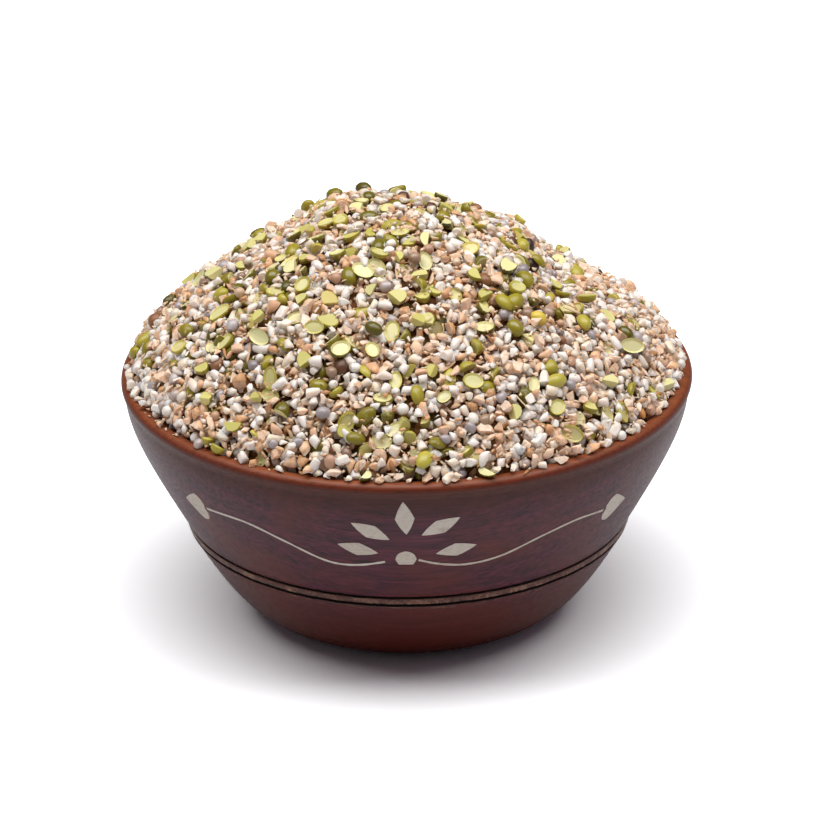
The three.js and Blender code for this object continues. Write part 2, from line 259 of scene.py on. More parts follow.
def bowl_profile():
    """The bowl's section as (radius, height), from the middle of its base round to its floor."""
    upper = wall_radius(GROOVE_TOP)
    bead = (LOWER_RADIUS + upper) / 2
    bead_low = GROOVE_BOTTOM + GROOVE_WIDTH
    bead_high = GROOVE_TOP - GROOVE_WIDTH
    flare = (BASE_RADIUS + 11.3, 0.6)
    rise = (LOWER_RADIUS - 6, GROOVE_BOTTOM - 9.6)
    points = [(0.0, 0.0), (12.0, 0.0), (24.0, 0.0)]
    points += bezier([(BASE_RADIUS, 0.0), flare, rise, (LOWER_RADIUS, GROOVE_BOTTOM)], 22)[:-1]
    points += scored_line(GROOVE_BOTTOM, LOWER_RADIUS, bead - 0.1)[:-1]
    points += [(bead - 0.05, bead_low), (bead + 0.07, bead_low + 0.3), (bead + 0.1, bead_low + 0.65)]
    points += [(bead + 0.12, bead_low + 1.0)]
    points += scored_line(bead_high, bead + 0.05, upper)
    for height in np.linspace(GROOVE_TOP, WALL_TOP, 26)[1:]:
        points.append((wall_radius(height), height))
    points += [(62.9, 53.3), (63.08, 53.4)]
    points += arc(*LIP_ROUND, -35, 88, 12) + arc(*LIP_INSIDE, 95, 175, 6)
    for height in np.linspace(WALL_TOP - 1.5, GROOVE_TOP - 1, 14):
        points.append((wall_radius(height) - WALL_THICKNESS, height))
    reach, turn_height = points[-1]
    drop = turn_height - FLOOR_THICKNESS
    for angle in np.linspace(0, 90, 13)[1:]:
        turn = math.radians(angle)
        points.append((reach * math.cos(turn), turn_height - drop * math.sin(turn)))
    points[-1] = (0.0, FLOOR_THICKNESS)
    return points


def spun(profile, steps):
    """Turns an open profile of (radius, height) round the Z axis into a closed skin."""
    bm = bmesh.new()
    verts = [bm.verts.new((radius, 0, height)) for radius, height in profile]
    edges = [bm.edges.new(pair) for pair in zip(verts, verts[1:])]
    bmesh.ops.spin(
        bm, geom=verts + edges, cent=(0, 0, 0), axis=(0, 0, 1), dvec=(0, 0, 0),
        angle=2 * math.pi, steps=steps, use_merge=True, use_duplicate=False,
    )
    bmesh.ops.remove_doubles(bm, verts=bm.verts, dist=1e-4)
    bmesh.ops.recalc_face_normals(bm, faces=bm.faces)
    return bm


def rosewood(settings):
    """Indian rosewood, turned and lacquered: it gives the eye a dark purple-brown with fine
    lengthwise streaks, a soft satin gleam, a browner lip with painted shade under its rounding
    and a painted highlight along its top, and grooves darkened with painted shade."""
    material, tree = new_material("Turned Rosewood, Satin Lacquer")
    place = add_node(tree, "TexCoord", out="Object")
    height = add_node(tree, "SeparateXYZ", {"Vector": place}, "Z")
    # The fibres run along X: rings about 4 mm apart, streaks 1 mm wide and pores 0.3 mm wide.
    bands = add_node(
        tree, "Mapping", {"Vector": place, "Location": (0, 9, 95), "Scale": (90, 1000, 1000)}
    )
    growth = add_node(
        tree, "TexWave",
        {
            "Vector": bands, "wave_type": "RINGS", "rings_direction": "X", "wave_profile": "SAW",
            "Scale": 0.06, "Distortion": 9.0, "Detail": 4.0, "Detail Scale": 0.3,
        },
        "Fac",
    )
    streaks, pores = (
        add_node(
            tree, "TexNoise",
            {
                "Vector": add_node(tree, "Mapping", {"Vector": place, "Scale": scale}),
                "Scale": 1.0, "Detail": detail, "Roughness": rough,
            },
        )
        for scale, detail, rough in (((55, 1300, 1300), 5.0, 0.62), ((260, 3000, 3000), 2.0, 0.5))
    )
    pore_mask = add_node(tree, "MapRange", {"Value": pores, "span": (0.62, 0.72, 0, 1)})
    figure = add_node(tree, "Mix", {"data_type": "FLOAT", 0: 0.86, 2: growth, 3: streaks})
    stops = [
        (0.28, tuple(settings.wood_dark)), (0.5, tuple(settings.wood)),
        (0.72, tuple(settings.wood_light)),
    ]
    wood = add_node(tree, "ValToRGB", {"Fac": figure, "stops": stops})
    # Redder zones of the heartwood, about 20 mm long.
    zones = add_node(
        tree, "TexNoise", {"Vector": place, "Scale": 48.0, "Detail": 3.0, "Roughness": 0.55}
    )
    zone = add_node(tree, "MapRange", {"Value": zones, "span": (0.46, 0.64, 0, 0.62)})
    wood = add_node(tree, "Mix", {"data_type": "RGBA", 0: zone, 6: wood, 7: "#602415"}, 2)
    # Towards the lip the wall turns browner; on the lip a dark lower half is painted shade under its
    # rounding and a light top is a painted highlight.
    lip = add_node(tree, "MapRange", {"Value": height, "span": (53.4 * MM, 54.6 * MM, 0, 1)})
    lip_band_painted_shade_highlight = add_node(
        tree, "MapRange",
        {
            "interpolation_type": "SMOOTHSTEP", "Value": height,
            "span": (45.5 * MM, 53.6 * MM, 0, 0.94),
        },
    )
    climb = add_node(
        tree, "MapRange", {"Value": height, "span": (52 * MM, BOWL_HEIGHT * MM, 0, 1)}
    )
    # The lip's colour up its height: dark brown painted shade at its underside, then the warmer lip
    # wood, then a painted highlight of light brown on its top.
    stops = [(0, "#4c1a0b"), (0.5, "#56200b"), (0.75, tuple(settings.lip_wood)), (0.98, "#8e4a26")]
    rubbed = add_node(tree, "ValToRGB", {"Fac": climb, "stops": stops})
    stops = [(0.3, (0.35, 0.35, 0.35, 1)), (0.6, (1, 1, 1, 1))]
    streaked = add_node(tree, "ValToRGB", {"Fac": streaks, "stops": stops})
    rubbed = add_node(
        tree, "Mix",
        {"data_type": "RGBA", "blend_type": "MULTIPLY", 0: 0.6, 6: rubbed, 7: streaked}, 2,
    )
    wood = add_node(tree, "Mix", {"data_type": "RGBA", 0: lip_band_painted_shade_highlight, 6: wood, 7: rubbed}, 2)
    # Under the grooves the wood is redder, the more so towards the base.
    foot = add_node(
        tree, "MapRange", {"Value": height, "span": (GROOVE_BOTTOM * MM, 6 * MM, 0.45, 0.9)}
    )
    below = add_node(tree, "Math", {"operation": "LESS_THAN", 0: height, 1: 20.9 * MM})
    foot = add_node(tree, "Math", {"operation": "MULTIPLY", 0: foot, 1: below})
    red = tuple(settings.foot_wood)
    wood = add_node(tree, "Mix", {"data_type": "RGBA", 0: foot, 6: wood, 7: red}, 2)
    # The scored lines are cut by hand: `line` is the height, less or more up to 0.65 mm.
    ragged = add_node(
        tree, "TexNoise", {"Vector": place, "Scale": 300.0, "Detail": 6.0, "Roughness": 0.78}
    )
    wander = add_node(
        tree, "Math", {"operation": "MULTIPLY_ADD", 0: ragged, 1: 1.3 * MM, 2: height}
    )
    line = add_node(tree, "Math", {"operation": "SUBTRACT", 0: wander, 1: 0.65 * MM})
    bead, under, low_groove, high_groove = (
        add_node(tree, "Math", {"operation": "COMPARE", 0: line, 1: middle * MM, 2: half * MM})
        for middle, half in ((21.95, 0.75), (20.1, 0.5), (20.98, 0.42), (22.95, 0.32))
    )
    # The bead between the grooves and a streak under them are scuffed bare and greyer.
    scuffs = add_node(tree, "MapRange", {"Value": streaks, "span": (0.5, 0.62, 0, 0.6)})
    scuffed = add_node(tree, "Math", {"operation": "MULTIPLY", 0: under, 1: scuffs})
    bead = add_node(tree, "Math", {"operation": "MULTIPLY", 0: bead, 1: 0.8})
    bare = add_node(tree, "Math", {"operation": "MAXIMUM", 0: bead, 1: scuffed})
    stops = [(0.36, "#43261c"), (0.52, "#71493a"), (0.68, "#ab8468")]
    bare_wood = add_node(tree, "ValToRGB", {"Fac": ragged, "stops": stops})
    wood = add_node(tree, "Mix", {"data_type": "RGBA", 0: bare, 6: wood, 7: bare_wood}, 2)
    # Painted shade: the two scored grooves are coloured a near-black brown where shade falls in them.
    grooves = add_node(tree, "Math", {"operation": "MAXIMUM", 0: low_groove, 1: high_groove})
    groove_painted_shade = tuple(settings.groove_painted_shade)
    wood = add_node(tree, "Mix", {"data_type": "RGBA", 0: grooves, 6: wood, 7: groove_painted_shade}, 2)
    wood = add_node(
        tree, "Mix",
        {
            "data_type": "RGBA", "blend_type": "MULTIPLY",
            0: pore_mask, 6: wood, 7: (0.45, 0.4, 0.4, 1),
        },
        2,
    )
    rough = add_node(tree, "MapRange", {"Value": streaks, "span": (0.3, 0.7, 0.44, 0.3)})
    rough = add_node(tree, "Mix", {"data_type": "FLOAT", 0: grooves, 2: rough, 3: 0.85})
    rough = add_node(tree, "Mix", {"data_type": "FLOAT", 0: lip, 2: rough, 3: 0.5})
    dent = add_node(tree, "Math", {"operation": "SUBTRACT", 0: streaks, 1: pore_mask})
    relief = add_node(tree, "Bump", {"Strength": 0.5, "Distance": 0.03 * MM, "Height": dent})
    surface(
        tree,
        {
            "Base Color": wood, "Roughness": rough, "Normal": relief,
            "IOR": 1.46, "Specular IOR Level": 0.36,
            "Coat Weight": 0.04, "Coat Roughness": 0.3, "Coat IOR": 1.5,
        },
    )
    return material


class GRAINBOWL_OT_turned_bowl(bpy.types.Operator):
    """Turns the rosewood bowl with its lip, scored lines and hollow"""

    bl_idname = "grainbowl.turned_bowl"
    bl_label = "Turned Bowl"

    def execute(self, context):
        settings = context.scene.grain_bowl
        bm = spun(bowl_profile(), settings.sides)
        wide = settings.rim_radius / (RIM_RADIUS * MM) * MM
        tall = settings.height / (BOWL_HEIGHT * MM) * MM
        bmesh.ops.scale(bm, vec=(wide, wide, tall), verts=bm.verts)
        show("bowl_turned", mesh_from(bm, "bowl_turned"), rosewood(settings), ["bowl"])
        return {"FINISHED"}


# ---- the inlay


def quadratic(start, control, end, steps):
    """Points on a quadratic curve, without its last one."""
    a, b, c = (np.array(p, float) for p in (start, control, end))
    return [
        tuple(a * (1 - t) ** 2 + 2 * b * t * (1 - t) + c * t * t)
        for t in np.linspace(0, 1, steps + 1)[:-1]
    ]


def petal_outline(x, y, degrees):
    """A petal cut as a long diamond, its four sides a little bulged."""
    half, wide, bulge = PETAL_LENGTH / 2, PETAL_HALF_WIDTH, 1.22
    tips = [(half, 0), (0, wide), (-half, 0), (0, -wide)]
    flat = []
    for start, end in zip(tips, tips[1:] + tips[:1]):
        middle = ((start[0] + end[0]) / 2 * bulge, (start[1] + end[1]) / 2 * bulge)
        flat += quadratic(start, middle, end, 5)
    c, s = math.cos(math.radians(degrees)), math.sin(math.radians(degrees))
    return [(x + px * c - py * s, y + px * s + py * c) for px, py in flat]


def bud_outline():
    """The bud the vines grow from: a low dome on a narrower foot."""
    points = [(-1.6, 33.9), (1.6, 33.9)]
    points += quadratic((2.3, 35.4), (2.1, 37.7), (0, 38.05), 7)
    points += quadratic((0, 38.05), (-2.1, 37.7), (-2.3, 35.4), 7) + [(-2.3, 35.4)]
    return points


def heart_outline():
    """The heart at a vine's end, on its side with its notch at the vine."""
    points = quadratic((54.5, 40.2), (52.4, 42.0), (49.7, 43.5), 4)
    points += quadratic((49.7, 43.5), (48.2, 43.5), (47.6, 41.2), 5)
    points += [(47.6, 41.2), (47.95, 40.0)]
    points += quadratic((47.6, 38.7), (48.0, 36.2), (50.3, 36.2), 5)
    points += quadratic((50.3, 36.2), (51.6, 36.7), (54.5, 40.2), 5)
    return points


def vine_outline(knots, side):
    """A thin strip along a smooth line, its width a little uneven as hand-cut pieces are."""
    knots = np.array(knots, float)
    padded = np.vstack([knots[0], knots, knots[-1]])
    line = []
    for i in range(len(knots) - 1):
        a, b, c, d = padded[i : i + 4]
        last = i == len(knots) - 2
        for t in np.linspace(0, 1, 12)[: None if last else -1]:
            line.append(
                0.5 * ((2 * b) + (c - a) * t + (2 * a - 5 * b + 4 * c - d) * t**2
                       + (3 * b - a - 3 * c + d) * t**3)
            )
    line = np.array(line)
    along = np.gradient(line, axis=0)
    along /= np.linalg.norm(along, axis=1)[:, None]
    across = np.stack([-along[:, 1], along[:, 0]], 1)
    width = VINE_WIDTH / 2 + 0.03 * np.sin(np.arange(len(line)) * 0.9 + side)
    upper = line + across * width[:, None]
    lower = line - across * width[:, None]
    points = [tuple(p) for p in np.vstack([lower, upper[::-1]])]
    return [(side * x, y) for x, y in points][::side]


def inlaid(outline, turn, proud, tone):
    """A flat outline as a thin plate bent onto the wall, `proud` mm over it."""
    bm = bmesh.new()
    bm.faces.new([bm.verts.new((x, y, 0)) for x, y in outline])
    # Cut into squares about 1 mm wide, so that the plate can follow the wall's curves.
    for axis, direction in ((0, (1, 0, 0)), (1, (0, 1, 0))):
        ends = min(p[axis] for p in outline), max(p[axis] for p in outline)
        for place in np.arange(ends[0] + 0.5, ends[1], 0.9):
            geometry = bm.verts[:] + bm.edges[:] + bm.faces[:]
            bmesh.ops.bisect_plane(
                bm, geom=geometry, dist=1e-4, plane_co=[place * d for d in direction],
                plane_no=direction,
            )
    bmesh.ops.recalc_face_normals(bm, faces=bm.faces)
    if bm.faces[:][0].normal.z < 0:
        bmesh.ops.reverse_faces(bm, faces=bm.faces)
    base = bmesh.ops.extrude_face_region(bm, geom=bm.faces[:], use_keep_orig=True)
    sunk = [v for v in base["geom"] if isinstance(v, bmesh.types.BMVert)]
    bmesh.ops.translate(bm, vec=(0, 0, -0.5), verts=sunk)
    bmesh.ops.recalc_face_normals(bm, faces=bm.faces)
    for vert in bm.verts:
        angle = turn + vert.co.x / INLAY_RADIUS
        radius = wall_radius(vert.co.y) + vert.co.z + proud
        vert.co = Vector((radius * math.cos(angle), radius * math.sin(angle), vert.co.y)) * MM
    layer = bm.verts.layers.float.new("tone")
    for vert in bm.verts:
        vert[layer] = tone
    return bm


def ornament():
    """Every piece of one ornament: its name and its flat outline."""
    return {
        "petal_top": petal_outline(-0.1, 47.6, 94),
        "petal_upper_right": petal_outline(7.1, 45.1, 31),
        "petal_upper_left": petal_outline(-7.1, 43.8, 149.5),
        "petal_lower_right": petal_outline(10.8, 37.9, 11.5),
        "petal_lower_left": petal_outline(-10.2, 38.35, 166.5),
        "bud": bud_outline(),
        "heart_right": [(x, y - RIGHT_DROP) for x, y in heart_outline()],
        "heart_left": [(-x, y) for x, y in heart_outline()][::-1],
        "vine_right": vine_outline(VINE_RIGHT, 1),
        "vine_left": vine_outline(VINE_LEFT, -1),
    }


def sanded_bone(settings):
    """Bone chips let into the wood and sanded flush: it gives the eye a warm off-white with fine
    straight saw lines and a faint brown stain, duller than the lacquered wood."""
    material, tree = new_material("Bone Inlay, Sanded Flush")
    place = add_node(tree, "TexCoord", out="Object")
    # Saw lines about 0.35 mm apart, leaning across the pieces.
    cut = add_node(
        tree, "Mapping",
        {"Vector": place, "Scale": (900, 900, 2600), "Rotation": (0.5, 0.4, 0)},
    )
    lines = add_node(
        tree, "TexNoise", {"Vector": cut, "Scale": 1.0, "Detail": 3.0, "Roughness": 0.6}
    )
    tone = add_node(tree, "Attribute", {"attribute_name": "tone"}, "Fac")
    shade = add_node(tree, "Mix", {"data_type": "FLOAT", 0: 0.35, 2: lines, 3: tone})
    bone = tuple(settings.bone)
    worn = tuple(c * k for c, k in zip(bone[:3], (0.72, 0.66, 0.58))) + (1,)
    body = add_node(tree, "ValToRGB", {"Fac": shade, "stops": [(0.3, worn), (0.6, bone)]})
    stain = add_node(
        tree, "TexNoise", {"Vector": place, "Scale": 420.0, "Detail": 3.0, "Roughness": 0.6}
    )
    stained = add_node(tree, "MapRange", {"Value": stain, "span": (0.6, 0.74, 0, 0.5)})
    body = add_node(tree, "Mix", {"data_type": "RGBA", 0: stained, 6: body, 7: "#8d6f5c"}, 2)
    relief = add_node(tree, "Bump", {"Strength": 0.4, "Distance": 0.02 * MM, "Height": lines})
    surface(
        tree,
        {
            "Base Color": body, "Normal": relief,
            "Roughness": 0.46, "IOR": 1.54, "Coat Weight": 0.15, "Coat Roughness": 0.25,
        },
    )
    return material


class GRAINBOWL_OT_inlay(bpy.types.Operator):
    """Lays the petals, buds, vines and hearts into the wall"""

    bl_idname = "grainbowl.inlay"
    bl_label = "Bone Inlay"

    def execute(self, context):
        settings = context.scene.grain_bowl
        random = np.random.default_rng(5)
        material = sanded_bone(settings)
        for repeat in range(REPEATS):
            turn = FIRST_TURN + repeat * 2 * math.pi / REPEATS
            for name, outline in ornament().items():
                node = f"{name}_{repeat + 1}"
                bm = inlaid(outline, turn, settings.inlay_proud / MM, random.uniform(0.3, 0.8))
                mesh = mesh_from(bm, node + "_plate", smooth=False)
                show(node + "_plate", mesh, material, [node])
        return {"FINISHED"}


# ---- the heap's outline


def heap_outline(x, y, top):
    """Height of the heap's outline above the rim: fuller on its -X side, with slow hollows."""
    radius = np.minimum(np.hypot(x, y), HEAP_RADIUS - 0.05)
    side = x / np.maximum(radius, 1.0)
    shoulder = 1.54 - 0.135 * side
    steepness = 0.682 + 0.022 * side
    dome = top * (1 - (radius / HEAP_RADIUS) ** shoulder) ** steepness
    uneven = 0.55 * (np.sin(x / 7.5 + 1) * np.cos(y / 9.2) + 0.6 * np.sin(x / 4.1 - y / 5.3))
    for at_x, at_y, breadth, length, rise in SWELLS:
        uneven = uneven + rise * np.exp(-(((x - at_x) / breadth) ** 2) - ((y - at_y) / length) ** 2)
    return dome + uneven * (1 - (radius / HEAP_RADIUS) ** 6)


def heap_normal(x, y, top):
    """The directions square to the heap's outline."""
    step = 0.8
    slope_x = (heap_outline(x + step, y, top) - heap_outline(x - step, y, top)) / (2 * step)
    slope_y = (heap_outline(x, y + step, top) - heap_outline(x, y - step, top)) / (2 * step)
    normal = np.stack([-slope_x, -slope_y, np.ones_like(slope_x)], -1)
    return normal / np.linalg.norm(normal, axis=-1, keepdims=True)


LAYER = 3.3  # the loose grains lie this deep over the core
CORE_RADIUS = 59.4  # the dome ends here, inside the lip
CORE_GAP = 0.35  # and the core stands this clear of the bowl's inside
FULL_TOP = 93.9  # no grain reaches higher than this


def core_height(x, y, top):
    normal = heap_normal(x, y, top)
    return BOWL_HEIGHT + heap_outline(x, y, top) - LAYER / np.maximum(normal[..., 2], 0.42)


def heap_edge(x, y):
    """How far out the grains lie: over the lip on the -Y side, just inside it on the +X side."""
    radius = np.maximum(np.hypot(x, y), 1.0)
    return 61.5 - 0.8 * y / radius - 0.6 * x / radius


def meal_in_painted_shade():
    """Grain too deep to tell apart, dusted with flour: it gives the eye a mottled tan, kept dark
    as painted shade between the loose grains."""
    material, tree = new_material("Packed Grain And Meal, Painted Shade")
    place = add_node(tree, "TexCoord", out="Object")
    # Cells 2.4 mm across, the size of the grains.
    cells = add_node(tree, "TexVoronoi", {"Vector": place, "Scale": 420.0})
    chance = add_node(tree, "SeparateColor", {"Color": cells.node.outputs["Color"]})
    # Dark tans and browns, far darker than the loose grains: meal colour with painted shade for the
    # gaps between them.
    stops = [(0, "#54300f"), (0.35, "#7a491d"), (0.6, "#996838"), (0.8, "#4d4515"), (1, "#8a6239")]
    shade = add_node(tree, "ValToRGB", {"Fac": chance, "stops": stops})
    relief = add_node(
        tree, "Bump", {"Strength": 1.0, "Distance": 0.6 * MM, "invert": True, "Height": cells}
    )
    surface(tree, {"Base Color": shade, "Normal": relief, "Roughness": 0.85, "IOR": 1.45})
    return material


class GRAINBOWL_OT_heap_core(bpy.types.Operator):
    """Fills the hollow and builds the dome that the loose grains lie on"""

    bl_idname = "grainbowl.heap_core"
    bl_label = "Heap Core"

    def execute(self, context):
        top = context.scene.grain_heap.heap_height / MM
        profile = [(r, BOWL_HEIGHT + 1) for r in np.linspace(0, CORE_RADIUS, 44)]
        for height in np.linspace(WALL_TOP - 1.5, GROOVE_TOP - 1, 6):
            profile.append((wall_radius(height) - WALL_THICKNESS - CORE_GAP, height))
        reach, turn_height = profile[-1]
        drop = turn_height - FLOOR_THICKNESS - CORE_GAP
        for angle in np.radians(np.linspace(0, 90, 7)[1:]):
            profile.append((reach * math.cos(angle), turn_height - drop * math.sin(angle)))
        profile[-1] = (0.0, FLOOR_THICKNESS + CORE_GAP)
        bm = spun(profile, 144)
        for vert in bm.verts:
            x, y, height = vert.co
            if height > BOWL_HEIGHT + 0.5:
                bump = 0.45 * noise.noise(Vector((x, y, 0)) / 2.2)
                height = float(core_height(np.array(x), np.array(y), top)) + bump
                vert.co.z = max(height, TRENCH)
        bmesh.ops.recalc_face_normals(bm, faces=bm.faces)
        bmesh.ops.scale(bm, vec=(MM, MM, MM), verts=bm.verts)
        show("heap_core", mesh_from(bm, "heap_core"), meal_in_painted_shade(), ["grain_heap"])
        return {"FINISHED"}


# ---- the forms of the grains, in mm


def rounded_form(size, segments=8, rings=6, taper=0.0):
    """A plump seed of length, width and thickness along X, Y and Z."""
    bm = bmesh.new()
    bmesh.ops.create_uvsphere(bm, u_segments=segments, v_segments=rings, radius=0.5)
    bmesh.ops.rotate(bm, cent=(0, 0, 0), matrix=Matrix.Rotation(math.pi / 2, 3, "Y"), verts=bm.verts)
    bmesh.ops.scale(bm, vec=size, verts=bm.verts)
    for vert in bm.verts:
        narrow = 1 - taper * vert.co.x / size[0]
        vert.co.y *= narrow
        vert.co.z *= narrow
    return bm


def cut_form(bm, planes):
    """Breaks pieces off a form; the broken faces are marked by their material."""
    for place, direction in planes:
        geometry = bm.verts[:] + bm.edges[:] + bm.faces[:]
        made = bmesh.ops.bisect_plane(
            bm, geom=geometry, dist=1e-4, plane_co=place, plane_no=direction, clear_outer=True
        )
        rim = [e for e in made["geom_cut"] if isinstance(e, bmesh.types.BMEdge)]
        if len(rim) > 2:
            filled = bmesh.ops.contextual_create(bm, geom=rim, mat_nr=1)
            for face in filled["faces"]:
                face.material_index = 1
    bmesh.ops.remove_doubles(bm, verts=bm.verts, dist=0.03)
    bmesh.ops.recalc_face_normals(bm, faces=bm.faces)
    return bm


def softened(bm, width):
    """Rounds the edges of the broken faces a little."""
    rim = [
        e for e in bm.edges
        if len(e.link_faces) == 2 and any(f.material_index == 1 for f in e.link_faces)
    ]
    bmesh.ops.bevel(
        bm, geom=rim, offset=width, offset_type="OFFSET", segments=1, profile=0.5,
        affect="EDGES", clamp_overlap=True, material=-1,
    )
    return bm


def shard(random, size, corners):
    """An angular chip: a few corners on an egg shape with a skin drawn tight round them."""
    bm = bmesh.new()
    for _ in range(corners):
        direction = random.normal(0, 1, 3)
        reach = random.uniform(0.42, 0.56) / np.linalg.norm(direction)
        bm.verts.new(Vector(direction * reach * np.array(size)))
    hull = bmesh.ops.convex_hull(bm, input=bm.verts[:])
    inner = [v for v in hull["geom_interior"] if isinstance(v, bmesh.types.BMVert)]
    bmesh.ops.delete(bm, geom=inner, context="VERTS")
    bmesh.ops.recalc_face_normals(bm, faces=bm.faces)
    return bm


def rice_forms(random):
    """White rice snapped across: middles, tips, nuggets and chips."""
    forms = []
    for length, back, front in [
        (6.2, -0.6, 1.1), (6.2, -1.0, 1.1), (6.0, 0.9, 3.1), (6.4, 0.6, 3.3), (5.8, -1.0, 0.9),
        (6.0, -3.1, -1.2), (6.2, -1.3, 0.6), (5.2, -2.6, 0.2), (6.0, -0.7, 0.8), (6.0, -1.2, 1.7),
    ]:
        bm = rounded_form((length, 2.1, 1.8), segments=8, rings=6)
        planes = []
        for place, side in ((back, -1), (front, 1)):
            if abs(place) < length / 2 - 0.2:
                lean = random.uniform(-0.6, 0.6, 2)
                planes.append(((place, 0, 0), (side, lean[0], lean[1])))
        turn = random.uniform(0, 2 * math.pi)
        flank = (random.uniform(-0.5, 0.5), math.cos(turn), math.sin(turn))
        planes.append(((0, 0.72 * flank[1], 0.6 * flank[2]), flank))
        softened(cut_form(bm, planes), 0.14)
        start = Vector(random.uniform(0, 50, 3))
        for vert in bm.verts:
            vert.co *= 1 + 0.14 * noise.noise(vert.co * 0.8 + start)
        forms.append(bm)
    for _ in range(4):
        bm = shard(random, (random.uniform(1.9, 2.7), 1.9, 1.5), 13)
        for face in bm.faces:
            face.material_index = int(face.normal.z > 0)
        forms.append(bm)
    return forms


def wheat_forms(random):
    """Wheat cracked by a mill: angular chips and flakes with a little bran left on one side."""
    forms = []
    for _ in range(6):
        length = random.uniform(3.2, 4.6)
        bm = rounded_form((length, 2.9, 2.5), segments=8, rings=6)
        planes = []
        for side in (-1, 1):
            lean = random.uniform(-0.7, 0.7, 2)
            planes.append(((side * length * random.uniform(0.22, 0.38), 0, 0), (side, *lean)))
        for _ in range(2):
            turn = random.uniform(0, 2 * math.pi)
            direction = (random.uniform(-0.4, 0.4), math.cos(turn), math.sin(turn))
            reach = random.uniform(0.15, 0.75)
            planes.append(((0, reach * direction[1], reach * direction[2]), direction))
        softened(cut_form(bm, planes), 0.12)
        start = Vector(random.uniform(0, 50, 3))
        for vert in bm.verts:
            vert.co *= 1 + 0.2 * noise.noise(vert.co * 0.9 + start)
        forms.append(bm)
    for _ in range(9):
        size = (random.uniform(2.2, 3.6), random.uniform(1.5, 2.3), random.uniform(0.9, 1.7))
        bm = shard(random, size, 13)
        for face in bm.faces:
            face.material_index = int(face.normal.z > -0.25)
        forms.append(bm)
    return forms


def meal_forms(random):
    """Crumbs of grain and flakes of bran."""
    forms = []
    for _ in range(10):
        thick = random.uniform(0.35, 0.9)
        bm = shard(random, (random.uniform(1.0, 1.7), random.uniform(0.7, 1.1), thick), 7)
        for face in bm.faces:
            face.material_index = int(face.normal.z > 0)
        forms.append(bm)
    return forms


def split_gram_forms(random):
    """Green gram halves: a domed back and a flat, slightly dished cut face."""
    forms = []
    for length, width, deep, cut in [
        (5.2, 3.8, 3.1, 0.5), (4.9, 3.6, 3.0, 0.3), (4.6, 3.5, 3.3, 0.6), (5.1, 3.5, 2.9, 0.15),
    ]:
        bm = rounded_form((length, width, deep), segments=10, rings=8)
        lean = random.uniform(-0.1, 0.1, 2)
        cut_form(bm, [((0, 0, cut), (lean[0], lean[1], 1))])
        flat = [f for f in bm.faces if f.material_index == 1]
        bmesh.ops.inset_region(bm, faces=flat, thickness=0.45, depth=-0.3, use_even_offset=False)
        for face in flat:  # the pale middle of the cut face
            face.material_index = 2
        forms.append(bm)
    for length, width, across, lean in [  # halves broken across
        (5.0, 3.7, 0.6, 0.3), (4.6, 3.6, -0.2, -0.5), (5.0, 3.8, 1.2, -0.7), (4.8, 3.6, 0.1, 1.4),
    ]:
        bm = rounded_form((length, width, 3.4), segments=10, rings=8)
        cut_form(bm, [((0, 0, 0.35), (0.1, 0, 1)), ((across, 0, 0), (1, lean, 0.1))])
        softened(bm, 0.1)
        forms.append(bm)
    return forms


def whole_gram_forms(random):
    """Whole green gram: blunt-ended beans, with a pale scar along one side."""
    forms = []
    for length, width, deep in [(4.9, 3.6, 3.5), (4.5, 3.5, 3.4), (5.1, 3.5, 3.4)]:
        bm = rounded_form((length, width, deep), segments=16, rings=12)
        for vert in bm.verts:  # blunt ends
            vert.co.x *= 1 - 0.07 * (2 * vert.co.x / length) ** 2
        for face in bm.faces:
            middle = face.calc_center_median()
            if middle.y > width * 0.44 and abs(middle.z) < 0.5 and abs(middle.x) < 0.8:
                face.material_index = 1
        forms.append(bm)
    return forms


def tipped_forms(sizes, tip, segments, taper):
    """Plump forms with a marked tip that begins at this share of their length."""
    forms = []
    for size in sizes:
        bm = rounded_form(size, segments=segments, rings=8, taper=taper)
        for face in bm.faces:
            if face.calc_center_median().x > size[0] * tip:
                face.material_index = 1
        forms.append(bm)
    return forms


def millet_forms(random):
    """Pearl millet: a drop that narrows to a brownish tip."""
    sizes = [(length, wide, wide * 0.94) for length, wide in ((3.1, 2.6), (2.8, 2.5), (3.2, 2.4))]
    return tipped_forms(sizes, 0.36, 9, 0.35)


def round_forms(random):
    """Small round millets with a browner spot where the stalk was."""
    return tipped_forms([(2.6, 2.5, 2.3), (2.9, 2.7, 2.4), (2.3, 2.3, 2.1)], 0.4, 8, 0.0)


def seed_forms(random):
    """Odd seeds and peas, a little wrinkled."""
    forms = []
    for size in [(3.4, 3.0, 2.8), (3.0, 1.9, 1.7), (3.9, 3.3, 3.0)]:
        bm = rounded_form(size, segments=12, rings=10)
        for vert in bm.verts:
            vert.co *= 1 + 0.09 * noise.noise(vert.co * 1.3)
        forms.append(bm)
    return forms


def husk_forms(random):
    """Slivers of bran and husk: thin curled strips."""
    forms = []
    for length, width, curl in [(3.6, 0.9, 0.5), (2.8, 1.2, 0.8), (4.4, 0.7, 0.3)]:
        bm = bmesh.new()
        bmesh.ops.create_grid(bm, x_segments=5, y_segments=2, size=0.5)
        for vert in bm.verts:
            x, y = vert.co.x, vert.co.y
            narrow = 1 - (2 * x) ** 2 * 0.75
            vert.co = Vector((x * length, y * width * narrow, curl * (x * x * 2 + y * y) - 0.2))
        bmesh.ops.solidify(bm, geom=bm.faces[:], thickness=0.14)
        bmesh.ops.recalc_face_normals(bm, faces=bm.faces)
        forms.append(bm)
    return forms


# ---- how the grains fall

